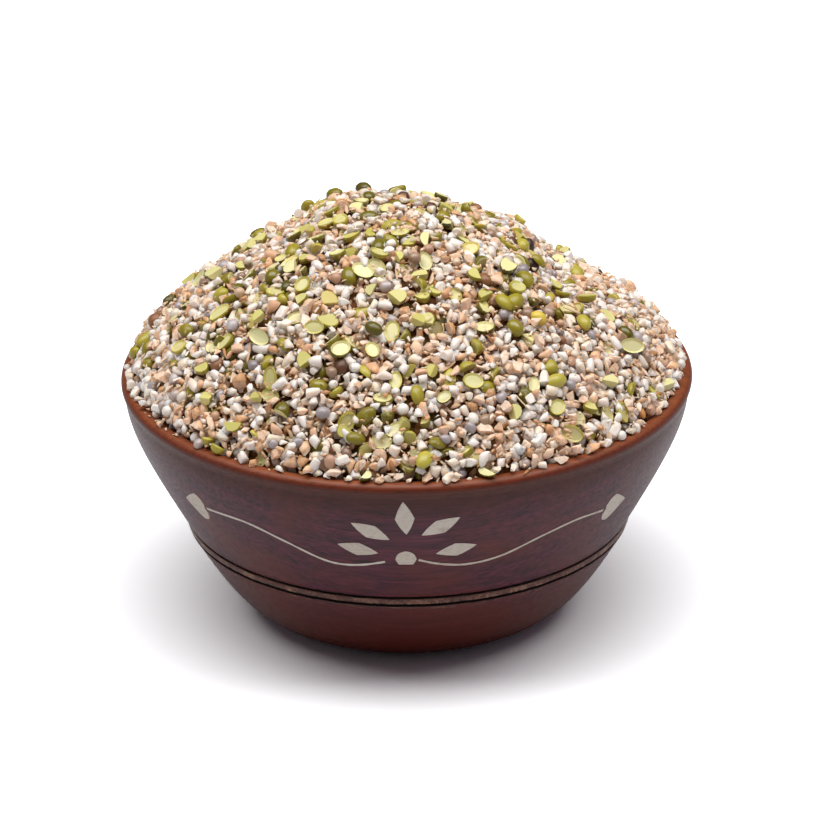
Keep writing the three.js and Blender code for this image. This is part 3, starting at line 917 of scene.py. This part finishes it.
# For each kind: the forms, share of the mix, sizes for the contact balls (half length, half
# width, half thickness), and the spread of its scale.
KINDS = {
    "broken_rice": (rice_forms, 0.45, (1.1, 0.95, 0.8), (0.85, 1.28)),
    "broken_wheat": (wheat_forms, 0.385, (1.25, 1.0, 0.85), (0.7, 1.35)),
    "split_gram": (split_gram_forms, 0.125, (2.35, 1.75, 0.9), (0.82, 1.05)),
    "whole_gram": (whole_gram_forms, 0.012, (2.4, 1.8, 1.72), (0.86, 1.04)),
    "pearl_millet": (millet_forms, 0.045, (1.4, 1.22, 1.18), (0.85, 1.1)),
    "small_millet": (round_forms, 0.045, (1.25, 1.2, 1.12), (0.75, 1.1)),
    "odd_seeds": (seed_forms, 0.006, (1.6, 1.3, 1.25), (0.85, 1.1)),
    "husk": (husk_forms, 0.02, (1.4, 0.4, 0.25), (0.8, 1.2)),
    "meal": (meal_forms, 0.0, (0.6, 0.45, 0.33), (0.6, 1.7)),
}
# How much each kind tumbles out of the slope it lies on, in radians.
TUMBLE = {"split_gram": 1.0, "whole_gram": 0.3, "broken_wheat": 0.55, "husk": 0.35}
# How far each kind may stand out over the smaller grains, and how little it seeks a low place.
STANDS_OUT = {"split_gram": 0.6, "whole_gram": 0.8, "pearl_millet": 0.3, "odd_seeds": 0.8}
RESTLESS = {"split_gram": 0.9, "whole_gram": 0.5}
# Where gram has gathered: the middle of each drift, its reach and how rich it is.
GRAM_DRIFTS = [
    (-27, -15, 10, 1.4), (8, -25, 9, 0.9), (4, -53, 10, 1.9), (39, -12, 8, 1.0), (-20, -47, 7, 1.0),
    (-44, -14, 7, 0.9), (30, -44, 6, 0.7),
]
CONTACT = 0.92  # grains nest into each other by this share
LIP_TOP_RADIUS = 60.75  # grains that reach past this radius lean on the lip
EDGE_START = 51.0  # from this radius on grains fall ever more straight down
EDGE_WIDTH = 7.0
PILE_START = 58.8  # from this radius on they may pile up higher
PILE_WIDTH = 1.5
PILE_UP = 1.9
FAR = 1e3  # further than any grain lies from another
TRENCH = 54.3  # the core dips to this height behind the lip
TRIES = 6  # spots at which each grain is tried
MEAL_SHARE = 0.65  # crumbs that trickle in at the end, for each grain
CELL = 4.0  # settled grains are looked up in cells of this size
_laid = {}  # the settled grains, kept for the operators that lay them


def contact_balls(half):
    """A grain as a few balls: their middles and their radius."""
    a, b, c = half
    places = []
    along = max(a - c, 0)
    across = max(b - c, 0)
    if along > 0.25:
        places += [(along, 0, 0), (-along, 0, 0)]
    if across > 0.3:
        places += [(0, across, 0), (0, -across, 0)]
    if len(places) != 2 or along > 1.2 * c:
        places.append((0, 0, 0))
    return np.array(places, float), c


def turned_frames(normals, tilts, leans, spins):
    """Rotation matrices of grains lying on slopes, tilted a little and spun about themselves."""
    side = np.cross(np.broadcast_to(np.array([0.0, 1.0, 0.0]), normals.shape), normals)
    side /= np.linalg.norm(side, axis=1, keepdims=True)
    stand = np.stack([side, np.cross(normals, side), normals], 2)
    zero, one = np.zeros_like(tilts), np.ones_like(tilts)
    (cl, sl), (ct, st), (cs, ss) = ((np.cos(a), np.sin(a)) for a in (leans, tilts, spins))
    lean = np.array([[cl, -sl, zero], [sl, cl, zero], [zero, zero, one]]).transpose(2, 0, 1)
    tilt = np.array([[one, zero, zero], [zero, ct, -st], [zero, st, ct]]).transpose(2, 0, 1)
    spin = np.array([[cs, -ss, zero], [ss, cs, zero], [zero, zero, one]]).transpose(2, 0, 1)
    return stand @ lean @ tilt @ spin


def spots(count, random, top):
    """Evenly spread places over the dome, in a mixed order."""
    radii = np.linspace(0, 61.6, 400)
    heights = heap_outline(radii * 0, -radii, top)
    lengths = np.hypot(np.diff(radii), np.diff(heights))
    areas = np.concatenate([[0], np.cumsum(lengths * (radii[1:] + radii[:-1]) / 2)])
    shares = (np.arange(count) + random.uniform(0, 1, count)) / count
    radius = np.interp(shares * areas[-1], areas, radii)
    angle = np.arange(count) * math.pi * (3 - math.sqrt(5))
    order = random.permutation(count)
    return np.stack([radius * np.cos(angle), radius * np.sin(angle)], 1)[order]


def kind_for(x, y, random):
    """Draws the kind of the next grain: gram gathers near the top and on the -X side."""
    names = list(KINDS)
    weights = np.array([KINDS[n][1] for n in names])
    patch = noise.noise(Vector((x / 13, y / 13, 3.7)))
    high = 1 - math.hypot(x, y) / 60
    richness = 0.5 + 2.6 * high * high - 0.15 * x / 60 + 0.7 * patch
    for at_x, at_y, reach, extra in GRAM_DRIFTS:
        richness += extra * math.exp(-((x - at_x) ** 2 + (y - at_y) ** 2) / reach**2)
    richness = max(0.3, richness)
    for name in ("split_gram", "whole_gram"):
        weights[names.index(name)] *= richness
    for name in ("pearl_millet", "small_millet"):
        weights[names.index(name)] *= 0.8 + 0.8 * high * high
    weights[names.index("broken_rice")] *= 1 + 0.5 * noise.noise(Vector((x / 9, y / 9, 9.1)))
    return names[random.choice(len(names), p=weights / weights.sum())]


def settle_grains(seed, attempts, top):
    """Lets grains settle one by one on the dome. Each is tried at a few spots and stays at the one
    where it lies lowest. Returns each kind's middles, rotations, scales and tones."""
    random = np.random.default_rng(seed)
    crumbs = int(attempts * MEAL_SHARE)
    middles = np.zeros((attempts * 5 + crumbs * 3, 3))
    radii = np.zeros(len(middles))
    used = 0
    cells = {}
    found = {name: [] for name in KINDS}
    balls = {name: contact_balls(half) for name, (_, _, half, _) in KINDS.items()}
    places = np.vstack([spots(attempts, random, top), spots(crumbs, random, top)])
    for turn, (x, y) in enumerate(places):
        name = kind_for(x, y, random) if turn < attempts else "meal"
        low, high = KINDS[name][3]
        scale = random.uniform(low, high)
        offsets, radius = balls[name]
        offsets, radius = offsets * scale, radius * scale
        stray = 2.0 if turn < attempts else 0.9
        near = random.uniform(-stray, stray, (TRIES, 2)) + (x, y)
        furthest = heap_edge(near[:, 0], near[:, 1])
        near *= np.minimum(1, furthest / np.hypot(near[:, 0], near[:, 1]))[:, None]
        from_axis = np.hypot(near[:, 0], near[:, 1])
        slope = heap_normal(near[:, 0], near[:, 1], top)
        surface_z = BOWL_HEIGHT + heap_outline(near[:, 0], near[:, 1], top)
        base = np.column_stack([near, surface_z])
        # Grains come to rest square to the dome, but close to the lip they drop straight down.
        edge = np.clip((from_axis - EDGE_START) / EDGE_WIDTH, 0, 1)
        normal = slope * (1 - edge[:, None]) + np.array([0, 0, 1.0]) * edge[:, None]
        normal /= np.linalg.norm(normal, axis=1, keepdims=True)
        trench = surface_z - np.maximum(core_height(near[:, 0], near[:, 1], top), TRENCH)
        depth = LAYER * (1 - edge) + trench * edge
        frames = turned_frames(
            slope, random.normal(0, TUMBLE.get(name, 0.4), TRIES),
            random.uniform(0, 2 * math.pi, TRIES), random.uniform(0, 2 * math.pi, TRIES),
        )
        placed = np.einsum("kij,sj->ksi", frames, offsets)
        above = np.einsum("ksi,ki->ks", placed, normal)
        height = (radius - above - depth[:, None]).max(1)
        # The lip's rounded inner edge carries what leans on it.
        start = base[:, None] + placed
        off_lip = np.maximum(LIP_TOP_RADIUS - np.hypot(start[..., 0], start[..., 1]), 0)
        rest = BOWL_HEIGHT - 0.15 + np.sqrt(np.maximum(radius**2 - off_lip**2, 0))
        lip_lift = np.where(off_lip < radius, (rest - start[..., 2]) / normal[:, None, 2], -FAR)
        height = np.maximum(height, lip_lift.max(1))
        # So do the grains that lie there already.
        key = [int(math.floor(c / CELL)) for c in (x, y, surface_z[0] - 1.5)]
        around = [
            i
            for dx in (-1, 0, 1) for dy in (-1, 0, 1) for dz in (-1, 0, 1)
            for i in cells.get((key[0] + dx, key[1] + dy, key[2] + dz), ())
        ]
        if around:
            reach = CONTACT * (radius + radii[around])
            gap = middles[around][None, None] - start[:, :, None]
            along = np.einsum("ksni,ki->ksn", gap, normal)
            beside = (gap**2).sum(-1) - along**2
            lift = along + np.sqrt(np.maximum(reach**2 - beside, 0))
            lift[beside >= reach**2] = -FAR
            height = np.maximum(height, lift.max((1, 2)))
        peak = height + above.max(1) + radius
        spheres = start + (height[:, None] * normal)[:, None]
        too_far = np.hypot(spheres[..., 0], spheres[..., 1]) + radius > RIM_RADIUS - 0.6
        too_high = spheres[..., 2] + radius > FULL_TOP
        proud = random.uniform(-0.2, 0.9) if random.uniform() < 0.95 else random.uniform(1.0, 2.2)
        proud = proud + PILE_UP * np.clip((from_axis - PILE_START) / PILE_WIDTH, 0, 1)
        proud = proud + STANDS_OUT.get(name, 0)
        blocked = (too_far | too_high).any(1) | (peak > proud)
        if blocked.all():
            continue
        choice = peak + random.normal(0, RESTLESS.get(name, 0.15), TRIES)
        best = int(np.argmin(np.where(blocked, FAR, choice)))
        count = len(offsets)
        middles[used : used + count] = spheres[best]
        radii[used : used + count] = radius
        for i in range(used, used + count):
            cell = tuple(int(math.floor(c / CELL)) for c in middles[i])
            cells.setdefault(cell, []).append(i)
        used += count
        middle = base[best] + height[best] * normal[best]
        found[name].append((middle, frames[best], scale, random.uniform()))
    return found


def laid_grains(context):
    """The settled grains, worked out once for all the kinds."""
    settings = context.scene.grain_heap
    if not _laid:
        top = settings.heap_height / MM
        _laid.update(settle_grains(settings.seed, settings.attempts, top))
    return _laid


def joined_grains(name, grains):
    """All grains of one kind as one mesh, each a stretched and bent copy of one of its forms."""
    random = np.random.default_rng(len(name) * 101)
    forms = KINDS[name][0](random)
    turned_over = 0.3 if name == "split_gram" else 0.5  # most halves show their cut face
    shares = []
    for bm in forms:
        bm.verts.index_update()
        places = np.array([v.co[:] for v in bm.verts])
        corners = [[v.index for v in f.verts] for f in bm.faces]
        marks = np.array([f.material_index for f in bm.faces], float)
        shares.append((places - places.mean(0), corners, marks))
        bm.free()
    picks = random.integers(0, len(shares), len(grains))
    all_places, all_corners, all_starts, all_marks, all_tones = [], [], [], [], []
    vertex_count = loop_count = 0
    for form, (places, corners, marks) in enumerate(shares):
        flat = np.concatenate([np.array(c) for c in corners])
        starts = np.cumsum([0] + [len(c) for c in corners[:-1]])
        for index in np.nonzero(picks == form)[0]:
            middle, turn, scale, tone = grains[index]
            stretch = scale * random.uniform(0.92, 1.08, 3)
            bent = places * stretch
            bent[:, 2] += random.uniform(-0.04, 0.04) * bent[:, 0] ** 2
            if random.uniform() < turned_over:
                bent = bent * (1, -1, -1)
            all_places.append(bent @ turn.T + middle)
            all_corners.append(flat + vertex_count)
            all_starts.append(starts + loop_count)
            all_marks.append(marks)
            all_tones.append(np.full(len(marks), tone))
            vertex_count += len(places)
            loop_count += len(flat)
    mesh = bpy.data.meshes.new(name)
    mesh.vertices.add(vertex_count)
    mesh.vertices.foreach_set("co", (np.concatenate(all_places) * MM).ravel())
    mesh.loops.add(loop_count)
    mesh.loops.foreach_set("vertex_index", np.concatenate(all_corners))
    starts = np.concatenate(all_starts)
    mesh.polygons.add(len(starts))
    mesh.polygons.foreach_set("loop_start", starts)
    marks = np.concatenate(all_marks)
    # Broken faces are flat, skins are smooth.
    flat_faces = (marks > 0.5) & (name in ("broken_rice", "broken_wheat", "split_gram", "meal"))
    mesh.polygons.foreach_set("use_smooth", ~flat_faces)
    mesh.update(calc_edges=True)
    mesh.attributes.new("broken", "FLOAT", "FACE").data.foreach_set("value", marks)
    tones = np.concatenate(all_tones)
    mesh.attributes.new("tone", "FLOAT", "FACE").data.foreach_set("value", tones)
    if mesh.validate():
        raise RuntimeError(name + " is not a clean mesh")
    return mesh


# ---- what the grains are made of


def grain_material(name, *ramps, steps="LINEAR"):
    """A new material for grains, with the place on it, the share of bare, broken face, and one
    colour for each ramp, picked by each grain's own tone."""
    material, tree = new_material(name)
    place = add_node(tree, "TexCoord", out="Object")
    tone, broken = (
        add_node(tree, "Attribute", {"attribute_name": n}, "Fac") for n in ("tone", "broken")
    )
    shades = [
        add_node(tree, "ValToRGB", {"Fac": tone, "steps": steps, "stops": stops})
        for stops in ramps
    ]
    return material, tree, place, broken, *shades


def polished_rice(settings):
    """White rice, milled and polished: it gives the eye glassy white pieces with chalkier broken
    ends, some a little cream, and light glows through them."""
    material, tree, place, broken, shade = grain_material(
        "Broken White Rice, Polished",
        [
            (0, "#f1e7e0"), (0.35, tuple(settings.rice)), (0.6, "#e6d6ca"), (0.8, "#eed8c4"),
            (1, "#f0dabe"),
        ],
    )
    # Chalky clouds about 1 mm across.
    cloud = add_node(tree, "TexNoise", {"Vector": place, "Scale": 900.0, "Detail": 2.0})
    chalk = add_node(tree, "MapRange", {"Value": cloud, "span": (0.45, 0.65, 0, 0.6)})
    ends = add_node(tree, "Math", {"operation": "MULTIPLY", 0: broken, 1: 0.8})
    chalky = add_node(tree, "Math", {"operation": "MAXIMUM", 0: chalk, 1: ends})
    body = add_node(tree, "Mix", {"data_type": "RGBA", 0: chalky, 6: shade, 7: "#efe5dd"}, 2)
    relief = add_node(tree, "Bump", {"Strength": 0.35, "Distance": 0.06 * MM, "Height": cloud})
    surface(
        tree,
        {
            "Base Color": body, "Normal": relief,
            "Roughness": 0.38, "IOR": 1.48, "Subsurface Weight": 0.75,
            "Subsurface Radius": (1.0, 0.8, 0.66), "Subsurface Scale": 1.3 * MM,
        },
    )
    return material


def cracked_wheat(settings):
    """Wheat cracked by stones: it gives the eye tan bran on the rounded sides and dull, floury
    cream where a grain broke."""
    material, tree, place, broken, bran, meal = grain_material(
        "Cracked Wheat, Stone Broken",
        [
            (0, "#bb8a5a"), (0.25, tuple(settings.wheat_skin)), (0.55, "#eabf9a"),
            (0.8, "#f0cdb1"), (1, "#d0a07a"),
        ],
        [
            (0, "#e2bfa2"), (0.3, tuple(settings.wheat_flour)), (0.65, "#f6e2d2"),
            (0.85, "#f1ceb2"), (1, "#e0b998"),
        ],
    )
    # Flour and bran lie in patches 0.7 mm across, with specks of 0.3 mm in them.
    specks = add_node(
        tree, "TexNoise", {"Vector": place, "Scale": 1500.0, "Detail": 4.0, "Roughness": 0.75}
    )
    amount = add_node(tree, "MapRange", {"Value": specks, "span": (0.38, 0.62, -0.75, 0.55)})
    floury = add_node(
        tree, "Math", {"operation": "ADD", "use_clamp": True, 0: broken, 1: amount}
    )
    body = add_node(tree, "Mix", {"data_type": "RGBA", 0: floury, 6: bran, 7: meal}, 2)
    relief = add_node(tree, "Bump", {"Strength": 0.6, "Distance": 0.09 * MM, "Height": specks})
    surface(
        tree,
        {
            "Base Color": body, "Normal": relief,
            "Roughness": 0.48, "IOR": 1.47, "Subsurface Weight": 0.55,
            "Subsurface Radius": (1.0, 0.64, 0.44), "Subsurface Scale": 1.0 * MM,
        },
    )
    return material


def split_gram(settings):
    """Split green gram: it gives the eye pale yellow-green cut faces edged by an olive skin that
    is half rubbed off on many pieces."""
    material, tree, place, broken, flesh, skin = grain_material(
        "Split Green Gram, Part Skinned",
        [
            (0, "#e2dba0"), (0.35, tuple(settings.gram_flesh)), (0.65, "#cfc570"),
            (0.85, "#bcb154"), (1, "#dcc876"),
        ],
        [(0, "#4d430a"), (0.35, tuple(settings.gram_skin)), (0.7, "#a09228"), (1, "#bdb048")],
    )
    # Where the skin has rubbed through, in patches 1.5 mm across.
    rubbed = add_node(
        tree, "TexNoise", {"Vector": place, "Scale": 650.0, "Detail": 3.0, "Roughness": 0.6}
    )
    bare = add_node(tree, "MapRange", {"Value": rubbed, "span": (0.6, 0.75, 0, 0.6)})
    shown = add_node(tree, "Math", {"operation": "MAXIMUM", 0: broken, 1: bare})
    # A cut face is paler in its dished middle, which is marked 2.
    middle = add_node(tree, "MapRange", {"Value": broken, "span": (1, 2, 0, 0.32)})
    flesh = add_node(tree, "Mix", {"data_type": "RGBA", 0: middle, 6: flesh, 7: "#ebe4c2"}, 2)
    body = add_node(tree, "Mix", {"data_type": "RGBA", 0: shown, 6: skin, 7: flesh}, 2)
    relief = add_node(tree, "Bump", {"Strength": 0.3, "Distance": 0.06 * MM, "Height": rubbed})
    surface(
        tree,
        {
            "Base Color": body, "Normal": relief,
            "Roughness": 0.34, "IOR": 1.5, "Subsurface Weight": 0.25,
            "Subsurface Radius": (1.0, 0.8, 0.3), "Subsurface Scale": 0.6 * MM,
        },
    )
    return material


def whole_gram(settings):
    """Whole green gram with its waxy skin: it gives the eye deep olive beans with a sharp gleam
    and a pale scar."""
    material, tree, place, scar, skin = grain_material(
        "Whole Green Gram, Waxy Skin",
        [(0, "#4f450b"), (0.5, tuple(settings.gram_skin)), (1, "#a2932c")],
    )
    # Faint mottling 0.8 mm across.
    mottle = add_node(tree, "TexNoise", {"Vector": place, "Scale": 1200.0, "Detail": 2.0})
    mottled = add_node(
        tree, "Mix",
        {
            "data_type": "RGBA", "blend_type": "MULTIPLY",
            0: mottle, 6: skin, 7: (0.72, 0.75, 0.6, 1),
        },
        2,
    )
    body = add_node(tree, "Mix", {"data_type": "RGBA", 0: scar, 6: mottled, 7: "#e9e6d6"}, 2)
    surface(
        tree,
        {
            "Base Color": body,
            "Roughness": 0.3, "IOR": 1.48, "Coat Weight": 0.3, "Coat Roughness": 0.15,
        },
    )
    return material


def pearl_millet(settings):
    """Pearl millet: it gives the eye smooth slate-grey drops with a soft pearly gleam and a
    brownish tip."""
    material, tree, place, tip, skin = grain_material(
        "Pearl Millet, Natural Skin",
        [
            (0, "#9b9094"), (0.3, tuple(settings.millet)), (0.65, "#d0c6c6"), (0.85, "#b39379"),
            (1, "#866857"),
        ],
    )
    cloud = add_node(tree, "TexNoise", {"Vector": place, "Scale": 800.0, "Detail": 3.0})
    clouded = add_node(
        tree, "Mix",
        {
            "data_type": "RGBA", "blend_type": "MULTIPLY",
            0: cloud, 6: skin, 7: (0.75, 0.7, 0.66, 1),
        },
        2,
    )
    share = add_node(tree, "Math", {"operation": "MULTIPLY", 0: tip, 1: 0.75})
    body = add_node(tree, "Mix", {"data_type": "RGBA", 0: share, 6: clouded, 7: "#8a6a4c"}, 2)
    surface(
        tree,
        {
            "Base Color": body,
            "Roughness": 0.32, "IOR": 1.5, "Coat Weight": 0.35, "Coat Roughness": 0.2,
        },
    )
    return material


def small_millet(settings):
    """Small hulled millets: it gives the eye pearly beads, most off-white and some beige-brown."""
    material, tree, _, mark, skin = grain_material(
        "Small Hulled Millet, Pearled",
        [(0, "#f1ece4"), (0.4, "#e9dfd2"), (0.55, "#d8bb98"), (0.75, "#b98f78"), (1, "#c9a07e")],
    )
    share = add_node(tree, "Math", {"operation": "MULTIPLY", 0: mark, 1: 0.5})
    body = add_node(tree, "Mix", {"data_type": "RGBA", 0: share, 6: skin, 7: "#a98060"}, 2)
    surface(
        tree,
        {
            "Base Color": body, "Roughness": 0.33, "IOR": 1.5, "Subsurface Weight": 0.2,
            "Subsurface Radius": (1.0, 0.8, 0.6), "Subsurface Scale": 0.6 * MM,
        },
    )
    return material


def odd_seed(settings):
    """Stray seeds and peas: it gives the eye a few dark brown and amber dots with a gleam."""
    material, tree, place, _, skin = grain_material(
        "Stray Seed, Dry Skin",
        [(0, "#5c3a26"), (0.3, "#c88a4c"), (0.55, "#453029"), (0.7, "#dcc04a"), (0.85, "#8a5c3a")],
        steps="CONSTANT",
    )
    wrinkles = add_node(tree, "TexNoise", {"Vector": place, "Scale": 1500.0, "Detail": 3.0})
    relief = add_node(tree, "Bump", {"Strength": 0.6, "Distance": 0.1 * MM, "Height": wrinkles})
    surface(tree, {"Base Color": skin, "Normal": relief, "Roughness": 0.4, "IOR": 1.48})
    return material


def dry_husk(settings):
    """Slivers of husk and bran: it gives the eye thin dull brown flecks."""
    stops = [(0, "#8a5a38"), (0.4, "#b98255"), (0.7, "#d2a984"), (1, "#e2c6a6")]
    material, tree, _, _, skin = grain_material("Husk And Bran, Dry", stops)
    surface(tree, {"Base Color": skin, "Roughness": 0.7, "IOR": 1.45})
    return material


FINISHES = {
    "broken_rice": polished_rice,
    "broken_wheat": cracked_wheat,
    "split_gram": split_gram,
    "whole_gram": whole_gram,
    "pearl_millet": pearl_millet,
    "small_millet": small_millet,
    "odd_seeds": odd_seed,
    "husk": dry_husk,
    "meal": cracked_wheat,
}


def lay(context, *names):
    """Puts all grains of these kinds in the scene."""
    for name in names:
        mesh = joined_grains(name, laid_grains(context)[name])
        finish = FINISHES[name](context.scene.grain_heap)
        show(name, mesh, finish, ["grain_heap"])
    return {"FINISHED"}


class GRAINBOWL_OT_broken_grain(bpy.types.Operator):
    """Lays the broken rice and broken wheat on the heap"""

    bl_idname = "grainbowl.broken_grain"
    bl_label = "Broken Rice And Wheat"

    def execute(self, context):
        return lay(context, "broken_rice", "broken_wheat")


class GRAINBOWL_OT_meal(bpy.types.Operator):
    """Lays the crumbs and bran flakes that trickle between the grains"""

    bl_idname = "grainbowl.meal"
    bl_label = "Meal And Bran"

    def execute(self, context):
        return lay(context, "meal")


class GRAINBOWL_OT_green_gram(bpy.types.Operator):
    """Lays the split and whole green gram on the heap"""

    bl_idname = "grainbowl.green_gram"
    bl_label = "Green Gram"

    def execute(self, context):
        return lay(context, "split_gram", "whole_gram")


class GRAINBOWL_OT_millet(bpy.types.Operator):
    """Lays the pearl millet and the small hulled millet on the heap"""

    bl_idname = "grainbowl.millet"
    bl_label = "Millet"

    def execute(self, context):
        return lay(context, "pearl_millet", "small_millet")


class GRAINBOWL_OT_odd_bits(bpy.types.Operator):
    """Lays the stray seeds and slivers of husk on the heap"""

    bl_idname = "grainbowl.odd_bits"
    bl_label = "Seeds And Husk"

    def execute(self, context):
        return lay(context, "odd_seeds", "husk")


# ---- the studio


BOUNCE = 0.8  # how bright the table looks to the bowl
EXPOSED = 1.55  # and how bright it looks itself, as on an overexposed studio sweep
CAMERA_PLACE = (0.00152, -1.3695, 0.6566)
CAMERA_PITCH = 65.92  # degrees up from straight down
CAMERA_ROLL = -0.7
FOCAL_LENGTH = 292.4


def matt_table(settings):
    """A matt white table: it gives the eye nothing but the bowl's soft shadow."""
    material, tree = new_material("Matt White Table")
    place = add_node(tree, "TexCoord", out="Object")
    mottle = add_node(tree, "TexNoise", {"Vector": place, "Scale": 3.0, "Detail": 2.0})
    white = tuple(settings.floor)
    dim = tuple(c * 0.985 for c in white[:3]) + (1,)
    shade = add_node(tree, "ValToRGB", {"Fac": mottle, "stops": [(0.3, dim), (0.7, white)]})
    seen = add_node(tree, "LightPath", out="Is Camera Ray")
    brightness = add_node(tree, "MapRange", {"Value": seen, "span": (0, 1, BOUNCE, EXPOSED)})
    exposed = add_node(tree, "VectorMath", {"operation": "SCALE", 0: shade, "Scale": brightness})
    paper = add_node(tree, "BsdfDiffuse", {"Color": exposed})
    add_node(tree, "OutputMaterial", {"Surface": paper})
    return material


def softbox(name, place, target, size, watts, tint):
    light = bpy.data.lights.new(name, "AREA")
    light.shape = "RECTANGLE"
    light.size, light.size_y = size
    light.energy = watts
    light.color = linear(tint)[:3]
    lamp = bpy.data.objects.new(name, light)
    lamp.location = place
    lamp.rotation_euler = (Vector(target) - Vector(place)).to_track_quat("-Z", "Y").to_euler()
    bpy.context.scene.collection.objects.link(lamp)


class GRAINBOWL_OT_studio(bpy.types.Operator):
    """Sets up the white table, the soft lights and the camera"""

    bl_idname = "grainbowl.studio"
    bl_label = "Studio"

    def execute(self, context):
        settings = context.scene.grain_studio
        bm = bmesh.new()
        bmesh.ops.create_grid(bm, x_segments=2, y_segments=2, size=3.0)
        floor = bpy.data.objects.new("table", mesh_from(bm, "table", smooth=False))
        floor.data.materials.append(matt_table(settings))
        context.scene.collection.objects.link(floor)

        world = bpy.data.worlds.new("White Studio")
        world.use_nodes = True
        world.node_tree.nodes.clear()
        air = add_node(
            world.node_tree, "Background", {"Color": "#fbfbff", "Strength": settings.fill}
        )
        add_node(world.node_tree, "OutputWorld", {"Surface": air})
        context.scene.world = world
        bowl = (0, 0, 0.06)
        softbox("Overhead", (0.0, -0.08, 1.15), bowl, (1.9, 0.8), settings.top_light, "#ffffff")
        softbox("Left", (-1.1, -0.1, 0.5), bowl, (0.9, 0.8), 0.35, "#efdcff")
        softbox("Right", (1.1, -0.1, 0.5), bowl, (0.9, 0.8), 0.5, "#e8d2ff")

        lens = bpy.data.cameras.new("Camera")
        lens.sensor_width = 36.0
        lens.lens = FOCAL_LENGTH
        lens.clip_end = 20.0
        camera = bpy.data.objects.new("Camera", lens)
        camera.location = CAMERA_PLACE
        level = Matrix.Rotation(math.radians(CAMERA_PITCH), 3, "X")
        roll = Matrix.Rotation(math.radians(CAMERA_ROLL), 3, "Z")
        camera.rotation_euler = (level @ roll).to_euler()
        context.scene.collection.objects.link(camera)
        context.scene.camera = camera
        context.scene.view_settings.view_transform = "Standard"
        return {"FINISHED"}


# ---- the sidebar


class GRAINBOWL_PT_sidebar(bpy.types.Panel):
    bl_idname = "GRAINBOWL_PT_sidebar"
    bl_label = "Grain Bowl"
    bl_space_type = "VIEW_3D"
    bl_region_type = "UI"
    bl_category = "Grain Bowl"

    def draw(self, context):
        for operator in OPERATORS:
            self.layout.operator(operator.bl_idname)
        for group in ("grain_bowl", "grain_heap", "grain_studio"):
            settings = getattr(context.scene, group)
            box = self.layout.box()
            for name in settings.__annotations__:
                box.prop(settings, name)


SETTINGS = {
    "grain_bowl": BowlSettings,
    "grain_heap": GrainSettings,
    "grain_studio": StudioSettings,
}
OPERATORS = (
    GRAINBOWL_OT_turned_bowl,
    GRAINBOWL_OT_inlay,
    GRAINBOWL_OT_heap_core,
    GRAINBOWL_OT_broken_grain,
    GRAINBOWL_OT_meal,
    GRAINBOWL_OT_green_gram,
    GRAINBOWL_OT_millet,
    GRAINBOWL_OT_odd_bits,
    GRAINBOWL_OT_studio,
)


def register():
    for group in SETTINGS.values():
        bpy.utils.register_class(group)
    for name, group in SETTINGS.items():
        setattr(bpy.types.Scene, name, bpy.props.PointerProperty(type=group))
    for operator in OPERATORS:
        bpy.utils.register_class(operator)
    bpy.utils.register_class(GRAINBOWL_PT_sidebar)


def unregister():
    bpy.utils.unregister_class(GRAINBOWL_PT_sidebar)
    for operator in reversed(OPERATORS):
        bpy.utils.unregister_class(operator)
    for name in SETTINGS:
        delattr(bpy.types.Scene, name)
    for group in SETTINGS.values():
        bpy.utils.unregister_class(group)


def main():
    register()
    bpy.ops.grainbowl.turned_bowl()
    bpy.ops.grainbowl.inlay()
    bpy.ops.grainbowl.heap_core()
    bpy.ops.grainbowl.broken_grain()
    bpy.ops.grainbowl.meal()
    bpy.ops.grainbowl.green_gram()
    bpy.ops.grainbowl.millet()
    bpy.ops.grainbowl.odd_bits()
    bpy.ops.grainbowl.studio()


if __name__ == "__main__":
    main()
